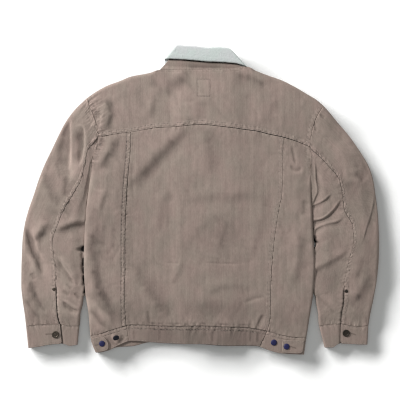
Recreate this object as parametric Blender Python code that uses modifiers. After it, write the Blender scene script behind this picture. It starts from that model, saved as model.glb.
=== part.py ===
"""Corduroy trucker jacket with a sherpa lining and collar, laid face down.

+X runs across the back towards the wearer's right sleeve, +Y towards the
collar and +Z up, away from the table.  The origin is under the middle of the
whole laid-out jacket, at table level.  The tables below are in millimetres.

Every cut panel is a wall between two surfaces.  The fronts and the lower
halves of the sleeves, cuffs and waistband lie on the table, and the back lies
on them.  Where a fold runs round an edge, both halves bend to meet there.
"""

import math

import bmesh
import bpy
import numpy as np
from mathutils import Vector
from mathutils.bvhtree import BVHTree

MM = 0.001

# Wall thicknesses
BODY_WALL = 7.0        # corduroy with its sherpa pile
NECK_WALL = 5.0        # the same where the collar presses it flat
SLEEVE_WALL = 4.5      # corduroy with a quilted lining
BAND_WALL = 3.0        # doubled corduroy: waistband and cuffs
PLACKET_WALL = 3.0
UNDER_PLACKET_WALL = 2.7
TAB_WALL = 2.4
SHERPA_WALL = 5.5
STAND_WALL = 4.8

# Gaps
SEAM_GAP = 0.4         # between the panels on the two sides of a seam
LAYER_GAP = 0.5        # least space between front and back
LOFT = 1.6             # how far the back usually stands off the front
MOST_LOFT = 3.0
WRAP_RADIUS = 0.6      # inside radius where a panel folds round an edge
REST_GAP = 0.3         # under a button or a tab
BUTT = 1.2             # width of the seam face on a rounded edge

LEAF_RISE = 5.9        # what the front collar leaves lift the fronts by
PLACKET_RISE = 2.6     # room for the button caps under the placket
LAP_RISE = 6.3         # underside of the right front where it laps the left

BUTTON = dict(cuff=8.6, tab=7.3, front=8.6, rivet=4.0)


class Table:
    """Rows of named columns, read as smooth curves that don't overshoot."""

    def __init__(self, names, rows):
        self.names = names.split()
        self.rows = np.array(sorted(rows), dtype=float)

    def __call__(self, name, at):
        x = self.rows[:, 0]
        y = self.rows[:, self.names.index(name)]
        h = np.diff(x)
        d = np.diff(y) / h
        m = np.zeros(len(x))
        m[0], m[-1] = d[0], d[-1]
        for k in range(1, len(x) - 1):
            if d[k - 1] * d[k] > 0:
                w0, w1 = 2 * h[k] + h[k - 1], h[k] + 2 * h[k - 1]
                m[k] = (w0 + w1) / (w0 / d[k - 1] + w1 / d[k])
        at = np.asarray(at, dtype=float)
        k = np.clip(np.searchsorted(x, at) - 1, 0, len(h) - 1)
        t = np.clip((at - x[k]) / h[k], 0.0, 1.0)
        a, b = (1 + 2 * t) * (1 - t) ** 2, t * (1 - t) ** 2
        return a * y[k] + b * h[k] * m[k] + (1 - a) * y[k + 1] - t * t * (1 - t) * h[k] * m[k + 1]


# Across the body at each level: its two edges and its two princess seams
BODY = Table(
    "level left_edge left_princess right_princess right_edge",
    [
        (245, -271.0, -166.0, 205.0, 306.0),
        (220, -262.5, -166.0, 204.5, 292.0),
        (192, -252.0, -166.0, 203.0, 276.0),
        (163, -244.0, -166.0, 201.0, 268.0),
        (132, -246.0, -166.5, 198.5, 263.0),
        (106, -256.0, -167.5, 198.0, 264.0),
        (84, -259.5, -170.0, 197.8, 265.2),
        (24, -267.4, -174.7, 196.3, 266.9),
        (-36, -274.5, -177.6, 186.2, 269.5),
        (-96, -277.7, -179.3, 177.6, 272.6),
        (-156, -279.0, -179.0, 171.8, 275.5),
        (-216, -276.0, -180.0, 169.0, 272.6),
        (-276, -267.4, -179.5, 168.0, 264.0),
        (-330, -263.5, -174.5, 156.0, 256.0),
        (-350, -258.0, -171.5, 144.0, 253.0),
        (-372, -248.5, -169.5, 138.0, 250.0),
    ],
)

# Along the body at each distance across: shoulder and neck line, yoke seam,
# waistband seam, and the hems of the back and of the front
LINES = Table(
    "across top yoke_seam band_seam back_hem front_hem",
    [
        (-271, 245.0, 152.0, -328.0, -366.8, -366.5),
        (-245, 262.5, 152.5, -322.5, -366.8, -364.5),
        (-220, 275.5, 155.5, -314.5, -361.5, -358.0),
        (-195, 284.5, 159.5, -307.0, -349.0, -352.5),
        (-165, 296.5, 162.5, -299.5, -338.5, -351.0),
        (-120, 305.0, 170.3, -301.0, -341.5, -341.5),
        (-96, 311.5, 173.3, -302.3, -343.3, -341.0),
        (-60, 311.0, 174.8, -302.6, -345.0, -342.0),
        (0, 311.0, 179.8, -301.4, -345.6, -343.0),
        (57, 311.0, 174.5, -304.0, -349.5, -346.0),
        (90, 312.5, 170.3, -305.0, -350.0, -347.0),
        (113, 319.0, 167.0, -306.2, -350.0, -348.0),
        (135, 309.5, 164.3, -309.5, -351.0, -349.0),
        (166, 298.2, 156.5, -315.7, -361.0, -358.0),
        (195, 288.0, 150.5, -324.0, -368.5, -365.5),
        (228, 271.5, 140.5, -329.3, -370.5, -369.0),
        (257, 254.4, 128.5, -330.0, -371.3, -371.3),
        (280, 240.3, 118.0, -331.0, -371.5, -371.5),
        (296, 226.8, 108.0, -331.0, -371.5, -371.5),
    ],
)

# Across each sleeve at each level: its outer fold, back seam and inner fold
SLEEVES = {
    "left": Table(
        "level outer back_seam inner",
        [
            (245, -271.0, -244.0, -258.0),
            (215, -302.2, -244.0, -258.0),
            (185, -324.0, -244.0, -258.0),
            (152, -341.2, -245.0, -258.0),
            (120, -356.4, -268.3, -258.0),
            (84, -373.7, -275.8, -260.6),
            (48, -387.8, -285.1, -265.5),
            (12, -399.6, -305.3, -270.7),
            (-24, -412.1, -326.2, -275.5),
            (-60, -421.4, -341.0, -278.0),
            (-96, -426.5, -353.0, -279.5),
            (-132, -428.2, -350.0, -280.5),
            (-168, -429.4, -344.5, -280.9),
            (-204, -429.6, -345.5, -279.5),
            (-240, -426.5, -344.6, -280.0),
            (-276, -421.2, -342.5, -287.3),
            (-304, -418.3, -335.8, -290.0),
        ],
    ),
    "right": Table(
        "level outer back_seam inner",
        [
            (227, 295.7, 263.0, 264.0),
            (215, 306.7, 263.0, 264.0),
            (185, 331.7, 263.0, 264.0),
            (155, 357.4, 263.0, 264.0),
            (127, 377.5, 264.0, 264.5),
            (103, 393.0, 287.5, 265.0),
            (84, 404.0, 305.3, 266.4),
            (48, 416.2, 333.6, 267.8),
            (12, 421.7, 341.2, 268.8),
            (-24, 426.5, 346.0, 270.5),
            (-60, 429.1, 364.8, 272.5),
            (-96, 430.3, 368.6, 275.0),
            (-132, 430.0, 359.8, 276.8),
            (-168, 427.7, 351.0, 277.6),
            (-204, 423.1, 345.6, 276.0),
            (-240, 416.4, 345.0, 277.2),
            (-276, 409.0, 339.6, 284.0),
            (-304, 404.9, 338.2, 286.3),
        ],
    ),
}

# Round each cuff from its outer fold to its inner fold
CUFF_NAMES = "step seam_x seam_y hem_x hem_y"
CUFFS = {
    "left": Table(
        CUFF_NAMES,
        [
            (0.00, -418.3, -303.6, -412.8, -355.9),
            (0.22, -395.0, -300.7, -389.0, -352.8),
            (0.45, -366.0, -298.8, -360.0, -347.5),
            (0.62, -335.8, -298.4, -331.2, -345.5),
            (0.82, -312.0, -303.0, -313.0, -350.4),
            (1.00, -290.0, -302.4, -294.5, -348.0),
        ],
    ),
    "right": Table(
        CUFF_NAMES,
        [
            (0.00, 404.9, -301.0, 402.5, -347.5),
            (0.18, 386.0, -303.6, 384.0, -347.3),
            (0.38, 364.0, -302.5, 362.0, -346.0),
            (0.58, 338.2, -297.6, 337.0, -345.0),
            (0.80, 314.0, -298.8, 318.0, -354.5),
            (1.00, 286.3, -302.4, 299.5, -354.5),
        ],
    ),
}
SLIT_STEP = {"left": 0.62, "right": 0.58}

# The collar's fold, and the free edge of its fall, from left to right
COLLAR = Table(
    "step fold_x fold_y edge_x edge_y",
    [
        (0.00, -59.5, 371.5, -85.0, 338.5),
        (0.18, -34.0, 370.2, -50.0, 337.2),
        (0.36, -10.0, 368.8, -15.0, 334.4),
        (0.54, 17.0, 365.5, 20.0, 331.6),
        (0.72, 44.0, 366.2, 55.0, 330.0),
        (0.88, 65.0, 364.8, 86.0, 327.2),
        (1.00, 77.0, 359.0, 112.0, 320.5),
    ],
)
# The two front leaves: where the fold and the point of the collar lie
LEAVES = {
    "left": dict(fold=(-9.0, 246.0), point=(-80.0, 222.0)),
    "right": dict(fold=(11.0, 244.0), point=(99.0, 214.0)),
}

TIP = {"left": 245.0, "right": 226.8}            # level of the shoulder point
SEAM_START = {"left": 152.0, "right": 127.5}     # yoke seam meets the armhole
UNDERARM = 84.0
SIDE_END = {"left": -326.4, "right": -330.0}     # waistband seam at the side
NECK = {"left": -96.0, "right": 113.0}          # ends of the back neckline
FRONT_CORNER = {"left": -97.0, "right": 124.0}  # where the front necklines start
FRONT_NECK = 238.0                               # level of the front neck
LAP = 19.0                                       # half the overlap in front

# The largest folds of the upper layer: a line, its half width and its depth
FOLDS = [
    dict(x0=-30, y0=158, x1=-160, y1=48, width=24, depth=-1.9),
    dict(x0=-197, y0=140, x1=-223, y1=88, width=18, depth=-1.3),
    dict(x0=-246, y0=15, x1=-240, y1=-140, width=18, depth=-1.2),
    dict(x0=-250, y0=-210, x1=-200, y1=-268, width=18, depth=-1.3),
    dict(x0=240, y0=-84, x1=221, y1=-204, width=18, depth=-1.1),
    dict(x0=-216, y0=232, x1=-222, y1=172, width=16, depth=-1.1),
    dict(x0=-24, y0=300, x1=-77, y1=262, width=18, depth=-1.0),
    dict(x0=-350, y0=-64, x1=-398, y1=-100, width=16, depth=-1.4),
    dict(x0=-419, y0=-112, x1=-378, y1=-184, width=16, depth=-1.5),
    dict(x0=-346, y0=-132, x1=-302, y1=-202, width=18, depth=1.2),
    dict(x0=-336, y0=-238, x1=-290, y1=-264, width=16, depth=-1.4),
    dict(x0=280, y0=-60, x1=343, y1=-20, width=18, depth=-1.5),
    dict(x0=280, y0=-166, x1=348, y1=-128, width=18, depth=-1.4),
    dict(x0=418, y0=34, x1=386, y1=-104, width=16, depth=-1.5),
    dict(x0=392, y0=-134, x1=372, y1=-190, width=16, depth=-1.2),
]

# How many strips each panel has
YOKE_DOWN, LOWER_ARMHOLE, SIDE_DOWN = 4, 3, 11
SIDE_ACROSS, CENTRE_ACROSS = 4, 11
SHOULDER, NECKLINE = 6, 7
SLEEVE_DOWN = 13
FRONT_SHOULDER, FRONT_NECKLINE, FRONT_DOWN = 5, 3, 7


def ease(t):
    t = np.clip(t, 0.0, 1.0)
    return t * t * (3 - 2 * t)


# ---------------------------------------------------------------- heights


def neck_share(x, y):
    """1 where the front collar leaves lie under the fronts, 0 away from them."""
    return ease((y - 124) / 80) * ease((152 - abs(x - 10)) / 46)


def body_wall(x, y):
    down = ease((y - LINES("band_seam", x)) / 34)
    wall = BAND_WALL + 0.6 + (BODY_WALL - BAND_WALL - 0.6) * down
    return wall + (NECK_WALL - BODY_WALL) * neck_share(x, y)


def lap_left(x):
    return ease((x + 66) / 42)


def lap_right(x):
    return ease((112 - x) / 60)


def lap_bump(x):
    return ease((x + 74) / 42) * ease((120 - x) / 62)


def front_height(x, y, side, wall):
    """Underside and thickness of a front, which ramps up to its lap."""
    share = lap_left(x) if side == "left" else lap_right(x)
    rise = PLACKET_RISE if side == "left" else LAP_RISE
    thin = PLACKET_WALL if side == "left" else UNDER_PLACKET_WALL
    under = LEAF_RISE * neck_share(x, y) + rise * share
    return under, wall + (thin - wall) * share


def front_top(x, y, wall):
    """The top of the fronts, as smooth as the back that lies on it."""
    lap = LAP_RISE + UNDER_PLACKET_WALL
    return LEAF_RISE * neck_share(x, y) + wall + (lap - wall) * lap_bump(x)


def slack(x, y):
    """Extra room between the layers where both of them climb."""
    neck, bump = neck_share(x, y), lap_bump(x)
    return 3.6 * neck * (1 - neck) + 2.4 * bump * (1 - bump)


def loft(x, y):
    """How far the upper layer stands off what it lies on."""
    total = LOFT * (1 - 0.75 * neck_share(x, y)) * np.ones_like(x)
    for f in FOLDS:
        dx, dy = f["x1"] - f["x0"], f["y1"] - f["y0"]
        length = math.hypot(dx, dy)
        along = ((x - f["x0"]) * dx + (y - f["y0"]) * dy) / length
        off = ((x - f["x0"]) * dy - (y - f["y0"]) * dx) / length
        ends = ease(along / (0.2 * length) + 0.5) * ease((length - along) / (0.2 * length) + 0.5)
        total = total + f["depth"] * ends * np.exp(-((off / f["width"]) ** 2))
    return np.clip(total, 0.0, MOST_LOFT)


# ---------------------------------------------------------------- plan


def polyline(x, y):
    return np.stack([np.asarray(x, float), np.asarray(y, float)], axis=-1)


def body_edge(name, start, end, count):
    levels = np.linspace(start, end, count + 1)
    return polyline(BODY(name, levels), levels)


def line(name, start, end, count):
    across = np.linspace(start, end, count + 1)
    return polyline(across, LINES(name, across))


def join(*parts):
    return np.concatenate([parts[0]] + [p[1:] for p in parts[1:]])


def fractions(points):
    steps = np.linalg.norm(np.diff(points, axis=0), axis=1)
    total = np.concatenate([[0.0], np.cumsum(steps)])
    return total / total[-1]


def coons(top, bottom, left, right):
    """A plan grid between four edges: rows run down, columns run across."""
    u = (fractions(top) + fractions(bottom)) / 2
    v = (fractions(left) + fractions(right)) / 2
    u, v = u[None, :, None], v[:, None, None]
    across = (1 - v) * top[None] + v * bottom[None]
    down = (1 - u) * left[:, None] + u * right[:, None]
    corners = (1 - v) * ((1 - u) * top[0] + u * top[-1]) + v * ((1 - u) * bottom[0] + u * bottom[-1])
    grid = across + down - corners
    one = np.ones(grid.shape[:2])
    return np.concatenate([grid, (u[..., 0] * one)[..., None], (v[..., 0] * one)[..., None]], axis=2)


TURN = {"left": (1, False), "right": (1, True), "top": (0, False), "bottom": (0, True)}


def facing(grid, side):
    """The grid turned so that the given side is its first column."""
    axis, back = TURN[side]
    grid = grid if axis == 1 else np.swapaxes(grid, 0, 1)
    return grid[:, ::-1] if back else grid


def inset(grid, sides):
    """Half a seam gap off the given sides."""
    grid = grid.copy()
    for side in sides:
        view = facing(grid, side)
        way = view[:, 1, :2] - view[:, 0, :2]
        view[:, 0, :2] += way * (SEAM_GAP / 2 / np.linalg.norm(way, axis=1))[:, None]
    return grid


def wall_layer(grid, inner, wall, sign, rolls=(), seams=("left", "right", "top", "bottom")):
    """The two surfaces of a panel.

    inner and wall give the height of the panel's inside face and its
    thickness at plan points.  sign is 1 for an upper layer and -1 for a lower
    one.  A roll rounds one side off towards the height where the two layers
    meet: kind butt ends there in a seam, and kind wrap goes on round it.
    """
    wraps = [r["side"] for r in rolls if r["kind"] == "wrap"]
    grid = inset(grid, [s for s in seams if s not in wraps])
    rows, cols = grid.shape[:2]
    turns = []
    for roll in rolls:
        view = facing(grid, roll["side"])
        edge, near = view[:, 0], view[:, 1]
        span = np.linalg.norm(near[:, :2] - edge[:, :2], axis=1)
        thick = wall(edge)
        hollow = roll.get("hollow", WRAP_RADIUS) if roll["kind"] == "wrap" else LAYER_GAP / 2
        radius = np.minimum(thick + hollow, 0.8 * span)
        angles = np.linspace(0, math.pi / 2, roll["steps"] + 1)
        added = [edge + (near - edge) * (radius * (1 - math.cos(a)) / span)[:, None] for a in angles]
        view = np.concatenate([np.stack(added, axis=1), view[:, 1:]], axis=1)
        way = (near[:, :2] - edge[:, :2]) / span[:, None]
        for old in turns:  # an earlier roll's numbers get this one's new lines
            for key in ("sin", "share", "nx", "ny"):
                seen = facing(old[key], roll["side"])
                seen = np.concatenate([np.repeat(seen[:, :1], roll["steps"] + 1, axis=1), seen[:, 1:]], axis=1)
                old[key] = unface(seen, roll["side"])
        sine = np.ones(view.shape[:2])
        sine[:, : len(angles)] = np.sin(angles)[None]
        share = roll.get("share", np.ones(len(edge)))[:, None] * np.ones(view.shape[:2])
        turns.append(
            dict(
                kind=roll["kind"],
                hollow=hollow,
                sin=unface(sine, roll["side"]),
                share=unface(share, roll["side"]),
                nx=unface(way[:, :1] * np.ones(view.shape[:2]), roll["side"]),
                ny=unface(way[:, 1:] * np.ones(view.shape[:2]), roll["side"]),
            )
        )
        grid = unface(view, roll["side"])
    low = inner(grid)
    thick = wall(grid)
    high = low + sign * thick
    drop_out, drop_in = np.zeros_like(low), np.zeros_like(low)
    shift = np.zeros(grid.shape[:2] + (2,))
    left_over = np.ones_like(low)
    for t in turns:
        bend = t["share"] * (1 - t["sin"]) * left_over
        cosine = np.sqrt(np.clip(1 - t["sin"] ** 2, 0, 1)) * t["share"] * left_over
        if t["kind"] == "wrap":
            drop_out += bend * (thick + t["hollow"])
            drop_in += bend * t["hollow"]
            move = thick * cosine
        else:
            drop_out += bend * (thick + LAYER_GAP / 2 - SEAM_GAP / 2)
            drop_in += bend * (LAYER_GAP / 2 - SEAM_GAP / 2)
            move = BUTT * cosine
        shift += move[..., None] * np.stack([t["nx"], t["ny"]], axis=-1)
        left_over = left_over * (1 - t["share"] * (1 - t["sin"]))
    outside = np.concatenate([grid[..., :2], (high - sign * drop_out)[..., None]], axis=2)
    inside = np.concatenate([grid[..., :2] + shift, (low - sign * drop_in)[..., None]], axis=2)
    return outside, inside


def unface(view, side):
    axis, back = TURN[side]
    view = view[:, ::-1] if back else view
    return view if axis == 1 else np.swapaxes(view, 0, 1)


def wrap(*layers):
    """Layers joined at the folds that they share."""
    outside, inside = layers[0]
    for more_out, more_in in layers[1:]:
        outside = np.concatenate([outside, more_out[:, 1:]], axis=1)
        inside = np.concatenate([inside, more_in[:, 1:]], axis=1)
    return outside, inside


# ---------------------------------------------------------------- objects

jacket = None
MADE = []


def material(name, colour, roughness, metallic=0.0):
    found = bpy.data.materials.get(name)
    if found:
        return found
    mat = bpy.data.materials.new(name)
    mat.use_nodes = True
    shader = mat.node_tree.nodes["Principled BSDF"]
    shader.inputs["Base Color"].default_value = (*colour, 1.0)
    shader.inputs["Roughness"].default_value = roughness
    shader.inputs["Metallic"].default_value = metallic
    return mat


CORDUROY = dict(name="corduroy", colour=(0.27, 0.22, 0.19), roughness=0.92)
SHERPA = dict(name="sherpa", colour=(0.62, 0.66, 0.65), roughness=0.97)
BRONZE = dict(name="bronze", colour=(0.10, 0.08, 0.065), roughness=0.45, metallic=0.8)
NAVY = dict(name="navy", colour=(0.012, 0.014, 0.06), roughness=0.4)


def add_object(name, mesh, finish):
    thing = bpy.data.objects.new(name, mesh)
    thing.data.materials.append(material(**finish))
    jacket.objects.link(thing)
    MADE.append(thing)
    return thing


def panel_object(name, surfaces, finish=CORDUROY):
    """One closed wall between an outside and an inside grid."""
    outside, inside = surfaces
    rows, cols = outside.shape[:2]
    bm = bmesh.new()
    skins = [[[bm.verts.new(Vector(p) * MM) for p in row] for row in skin] for skin in (outside, inside)]
    a, b = skins
    for i in range(rows - 1):
        for j in range(cols - 1):
            bm.faces.new((a[i][j], a[i + 1][j], a[i + 1][j + 1], a[i][j + 1]))
            bm.faces.new((b[i][j], b[i][j + 1], b[i + 1][j + 1], b[i + 1][j]))
    rim = [(i, 0) for i in range(rows)] + [(rows - 1, j) for j in range(1, cols)]
    rim += [(i, cols - 1) for i in range(rows - 2, -1, -1)] + [(0, j) for j in range(cols - 2, 0, -1)]
    for (i, j), (k, m) in zip(rim, rim[1:] + rim[:1]):
        bm.faces.new((a[k][m], a[i][j], b[i][j], b[k][m]))
    if bm.calc_volume(signed=True) < 0:
        bmesh.ops.reverse_faces(bm, faces=bm.faces[:])
    mesh = bpy.data.meshes.new(name)
    bm.to_mesh(mesh)
    bm.free()
    mesh.shade_smooth()
    mesh.set_sharp_from_angle(angle=math.radians(40))
    return add_object(name, mesh, finish)


def slab(name, outline, under, thick, finish=CORDUROY):
    """A flat outline raised to a plate."""
    bm = bmesh.new()
    face = bm.faces.new([bm.verts.new((x * MM, y * MM, under * MM)) for x, y in outline])
    bm.normal_update()
    if face.normal.z > 0:
        face.normal_flip()
    grown = bmesh.ops.extrude_face_region(bm, geom=[face])
    lifted = [v for v in grown["geom"] if isinstance(v, bmesh.types.BMVert)]
    bmesh.ops.translate(bm, vec=(0, 0, thick * MM), verts=lifted)
    bmesh.ops.recalc_face_normals(bm, faces=bm.faces[:])
    if bm.calc_volume(signed=True) < 0:
        bmesh.ops.reverse_faces(bm, faces=bm.faces[:])
    mesh = bpy.data.meshes.new(name)
    bm.to_mesh(mesh)
    bm.free()
    return add_object(name, mesh, finish)


def turned(name, profile, place, finish, flip=False, tilt=(0.0, 0.0)):
    """A profile of (radius, height) rows turned round its own axis."""
    bm = bmesh.new()
    dots = [bm.verts.new((r * MM, 0, z * MM)) for r, z in profile]
    for p, q in zip(dots, dots[1:]):
        bm.edges.new((p, q))
    mesh = bpy.data.meshes.new(name)
    bm.to_mesh(mesh)
    bm.free()
    thing = add_object(name, mesh, finish)
    screw = thing.modifiers.new("turn", "SCREW")
    screw.axis = "Z"
    screw.steps = screw.render_steps = 20
    screw.use_merge_vertices = True
    screw.merge_threshold = 0.00001
    thing.location = Vector(place) * MM
    thing.rotation_euler = (math.pi if flip else tilt[0], tilt[1], 0)
    return thing


def cap_profile(radius, thick):
    """A tack button's cap: a flat back, a round rim and a dished face."""
    return [
        (0.0, thick * 0.72),
        (radius * 0.60, thick * 0.74),
        (radius * 0.72, thick),
        (radius * 0.90, thick * 0.94),
        (radius, thick * 0.55),
        (radius * 0.93, 0.0),
        (0.0, 0.0),
    ]


def rivet_profile(radius, thick):
    return [(0.0, thick), (radius * 0.55, thick * 0.92), (radius, thick * 0.35), (radius, 0.0), (0.0, 0.0)]


def height_on(thing, x, y, radius, sign=1):
    """The highest point of an object under a round thing set down on it.

    With sign -1 it is the lowest one over a thing that is held up to it.
    """
    bm = bmesh.new()
    bm.from_mesh(thing.data)
    tree = BVHTree.FromBMesh(bm)
    bm.free()
    found = []
    for k in range(13):
        r = 0 if k == 12 else radius
        at = Vector((x + r * math.cos(k * math.pi / 6), y + r * math.sin(k * math.pi / 6), sign * 100)) * MM
        hit = tree.ray_cast(at, Vector((0, 0, -sign)))[0]
        if hit is not None:
            found.append(hit.z / MM)
    return max(found) if sign > 0 else min(found)


# ---------------------------------------------------------------- body


def xy(f):
    return lambda g: f(g[..., 0], g[..., 1])


def near_edges(g, sides):
    """0 on the given sides of a grid, 1 from 40 mm in, by distance in plan."""
    share = np.ones(g.shape[:2])
    if "left" in sides:
        share = share * ease((g[..., 0] - BODY("left_edge", g[..., 1])) / 40)
    if "right" in sides:
        share = share * ease((BODY("right_edge", g[..., 1]) - g[..., 0]) / 40)
    if "top" in sides:
        share = share * ease((LINES("top", g[..., 0]) - g[..., 1]) / 40)
    return share


def back_inner(sides):
    def inner(g):
        x, y = g[..., 0], g[..., 1]
        stand_off = LAYER_GAP + slack(x, y) + loft(x, y) * near_edges(g, sides)
        return front_top(x, y, body_wall(x, y)) + np.minimum(stand_off, MOST_LOFT + LAYER_GAP)

    return inner


def shoulder_share(points):
    """1 along the shoulders, where the yoke rolls over, and 0 at the neck."""
    x = points[:, 0]
    return np.where(x < 0, ease((NECK["left"] - 6 - x) / 14), ease((x - NECK["right"] - 6) / 14))


def make_back():
    tip_l, tip_r = BODY("left_edge", TIP["left"]), BODY("right_edge", TIP["right"])
    end_l = BODY("left_edge", SEAM_START["left"])
    end_r = BODY("right_edge", SEAM_START["right"])
    mid_l, mid_r = -166.0, 199.5
    seam = {
        "left": line("yoke_seam", end_l, mid_l, SIDE_ACROSS),
        "mid": line("yoke_seam", mid_l, mid_r, CENTRE_ACROSS),
        "right": line("yoke_seam", mid_r, end_r, SIDE_ACROSS),
    }
    top = join(
        line("top", tip_l, NECK["left"], SHOULDER),
        line("top", NECK["left"], NECK["right"], NECKLINE),
        line("top", NECK["right"], tip_r, SHOULDER),
    )
    yoke = coons(
        top,
        join(seam["left"], seam["mid"], seam["right"]),
        body_edge("left_edge", TIP["left"], SEAM_START["left"], YOKE_DOWN),
        body_edge("right_edge", TIP["right"], SEAM_START["right"], YOKE_DOWN),
    )
    roll = dict(side="top", kind="butt", steps=3, share=shoulder_share(top))
    panel_object("back_yoke", wall_layer(yoke, back_inner(["top"]), xy(body_wall), 1, [roll]))

    down = LOWER_ARMHOLE + SIDE_DOWN
    band_l, band_r = BODY("left_edge", SIDE_END["left"]), BODY("right_edge", SIDE_END["right"])
    low_l, low_r = -176.5, 161.5
    princess_l = body_edge("left_princess", LINES("yoke_seam", mid_l), LINES("band_seam", low_l), down)
    princess_r = body_edge("right_princess", LINES("yoke_seam", mid_r), LINES("band_seam", low_r), down)
    princess_l[0], princess_l[-1] = seam["mid"][0], (low_l, LINES("band_seam", low_l))
    princess_r[0], princess_r[-1] = seam["mid"][-1], (low_r, LINES("band_seam", low_r))
    centre = coons(seam["mid"], line("band_seam", low_l, low_r, CENTRE_ACROSS), princess_l, princess_r)
    panel_object("back_centre", wall_layer(centre, back_inner([]), xy(body_wall), 1))

    share = np.array([0.0] * (LOWER_ARMHOLE + 1) + [1.0] * SIDE_DOWN)
    for side, princess, low, band in (("left", princess_l, low_l, band_l), ("right", princess_r, low_r, band_r)):
        edge = join(
            body_edge(f"{side}_edge", SEAM_START[side], UNDERARM, LOWER_ARMHOLE),
            body_edge(f"{side}_edge", UNDERARM, SIDE_END[side], SIDE_DOWN),
        )
        if side == "left":
            grid = coons(seam["left"], line("band_seam", band, low, SIDE_ACROSS), edge, princess)
        else:
            grid = coons(seam["right"], line("band_seam", low, band, SIDE_ACROSS), princess, edge)
        roll = dict(side=side, kind="butt", steps=3, share=share)
        panel_object(f"back_side_{side}", wall_layer(grid, back_inner([side]), xy(body_wall), 1, [roll]))


def neck_curve(side, count):
    """The front neckline, from the shoulder down to the lap."""
    x0 = FRONT_CORNER[side]
    x1 = -LAP if side == "left" else -LAP + 1.0
    t = np.linspace(0, 1, count + 1)
    y0 = float(LINES("top", x0))
    return polyline(x0 + (x1 - x0) * (0.35 * t + 0.65 * t**1.8), y0 + (FRONT_NECK - y0) * (1 - (1 - t) ** 1.7))


def front_edge(side):
    return join(
        body_edge(f"{side}_edge", TIP[side], SEAM_START[side], YOKE_DOWN),
        body_edge(f"{side}_edge", SEAM_START[side], UNDERARM, LOWER_ARMHOLE),
        body_edge(f"{side}_edge", UNDERARM, SIDE_END[side], FRONT_DOWN),
    )


def front_levels(edge, bottom):
    """Rows down the middle of a front, close together at the neck."""
    return FRONT_NECK + (bottom - FRONT_NECK) * fractions(edge)


def make_fronts():
    for side in ("left", "right"):
        # the left front ends at its placket, and the right one laps under it
        lap = -LAP
        tip = BODY(f"{side}_edge", TIP[side])
        shoulder = line("top", tip, FRONT_CORNER[side], FRONT_SHOULDER)
        neck = neck_curve(side, FRONT_NECKLINE)
        top = join(shoulder, neck)
        edge = front_edge(side)
        low = BODY(f"{side}_edge", SIDE_END[side])
        bottom = line("band_seam", low, top[-1][0], FRONT_SHOULDER + FRONT_NECKLINE)
        middle = polyline(np.full(len(edge), top[-1][0]), front_levels(edge, bottom[-1][1]))
        grid = coons(top, bottom, edge, middle)

        def under(g, side=side):
            return front_height(g[..., 0], g[..., 1], side, body_wall(g[..., 0], g[..., 1]))[0]

        def thick(g, side=side):
            return front_height(g[..., 0], g[..., 1], side, body_wall(g[..., 0], g[..., 1]))[1]

        rolls = [
            dict(side="left", kind="butt", steps=2, share=np.array([0.0] * (YOKE_DOWN + LOWER_ARMHOLE + 1) + [1.0] * FRONT_DOWN)),
            dict(side="top", kind="butt", steps=2, share=shoulder_share(top)),
        ]
        rolls[1]["share"] = np.concatenate([np.repeat(rolls[1]["share"][:1], 3), rolls[1]["share"][1:]])
        surfaces = wall_layer(grid, lambda g: under(g) + thick(g), thick, -1, rolls)
        panel_object(f"front_{side}", surfaces)


def make_placket():
    down = front_levels(front_edge("left"), float(LINES("band_seam", 0.0)))
    ends = [-LAP, 0.0, LAP]
    grid = coons(
        polyline(ends, [down[0]] * 3),
        polyline(ends, [down[-1]] * 3),
        polyline(np.full(len(down), -LAP), down),
        polyline(np.full(len(down), LAP), down),
    )

    def inner(g):
        return front_height(g[..., 0], g[..., 1], "left", PLACKET_WALL)[0] + PLACKET_WALL

    panel_object("front_placket", wall_layer(grid, inner, lambda g: np.full(g.shape[:-1], PLACKET_WALL), -1))


def band_height(x, side):
    under, thick = front_height(x, np.full_like(x, -330.0), side, BAND_WALL)
    return under, thick


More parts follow.
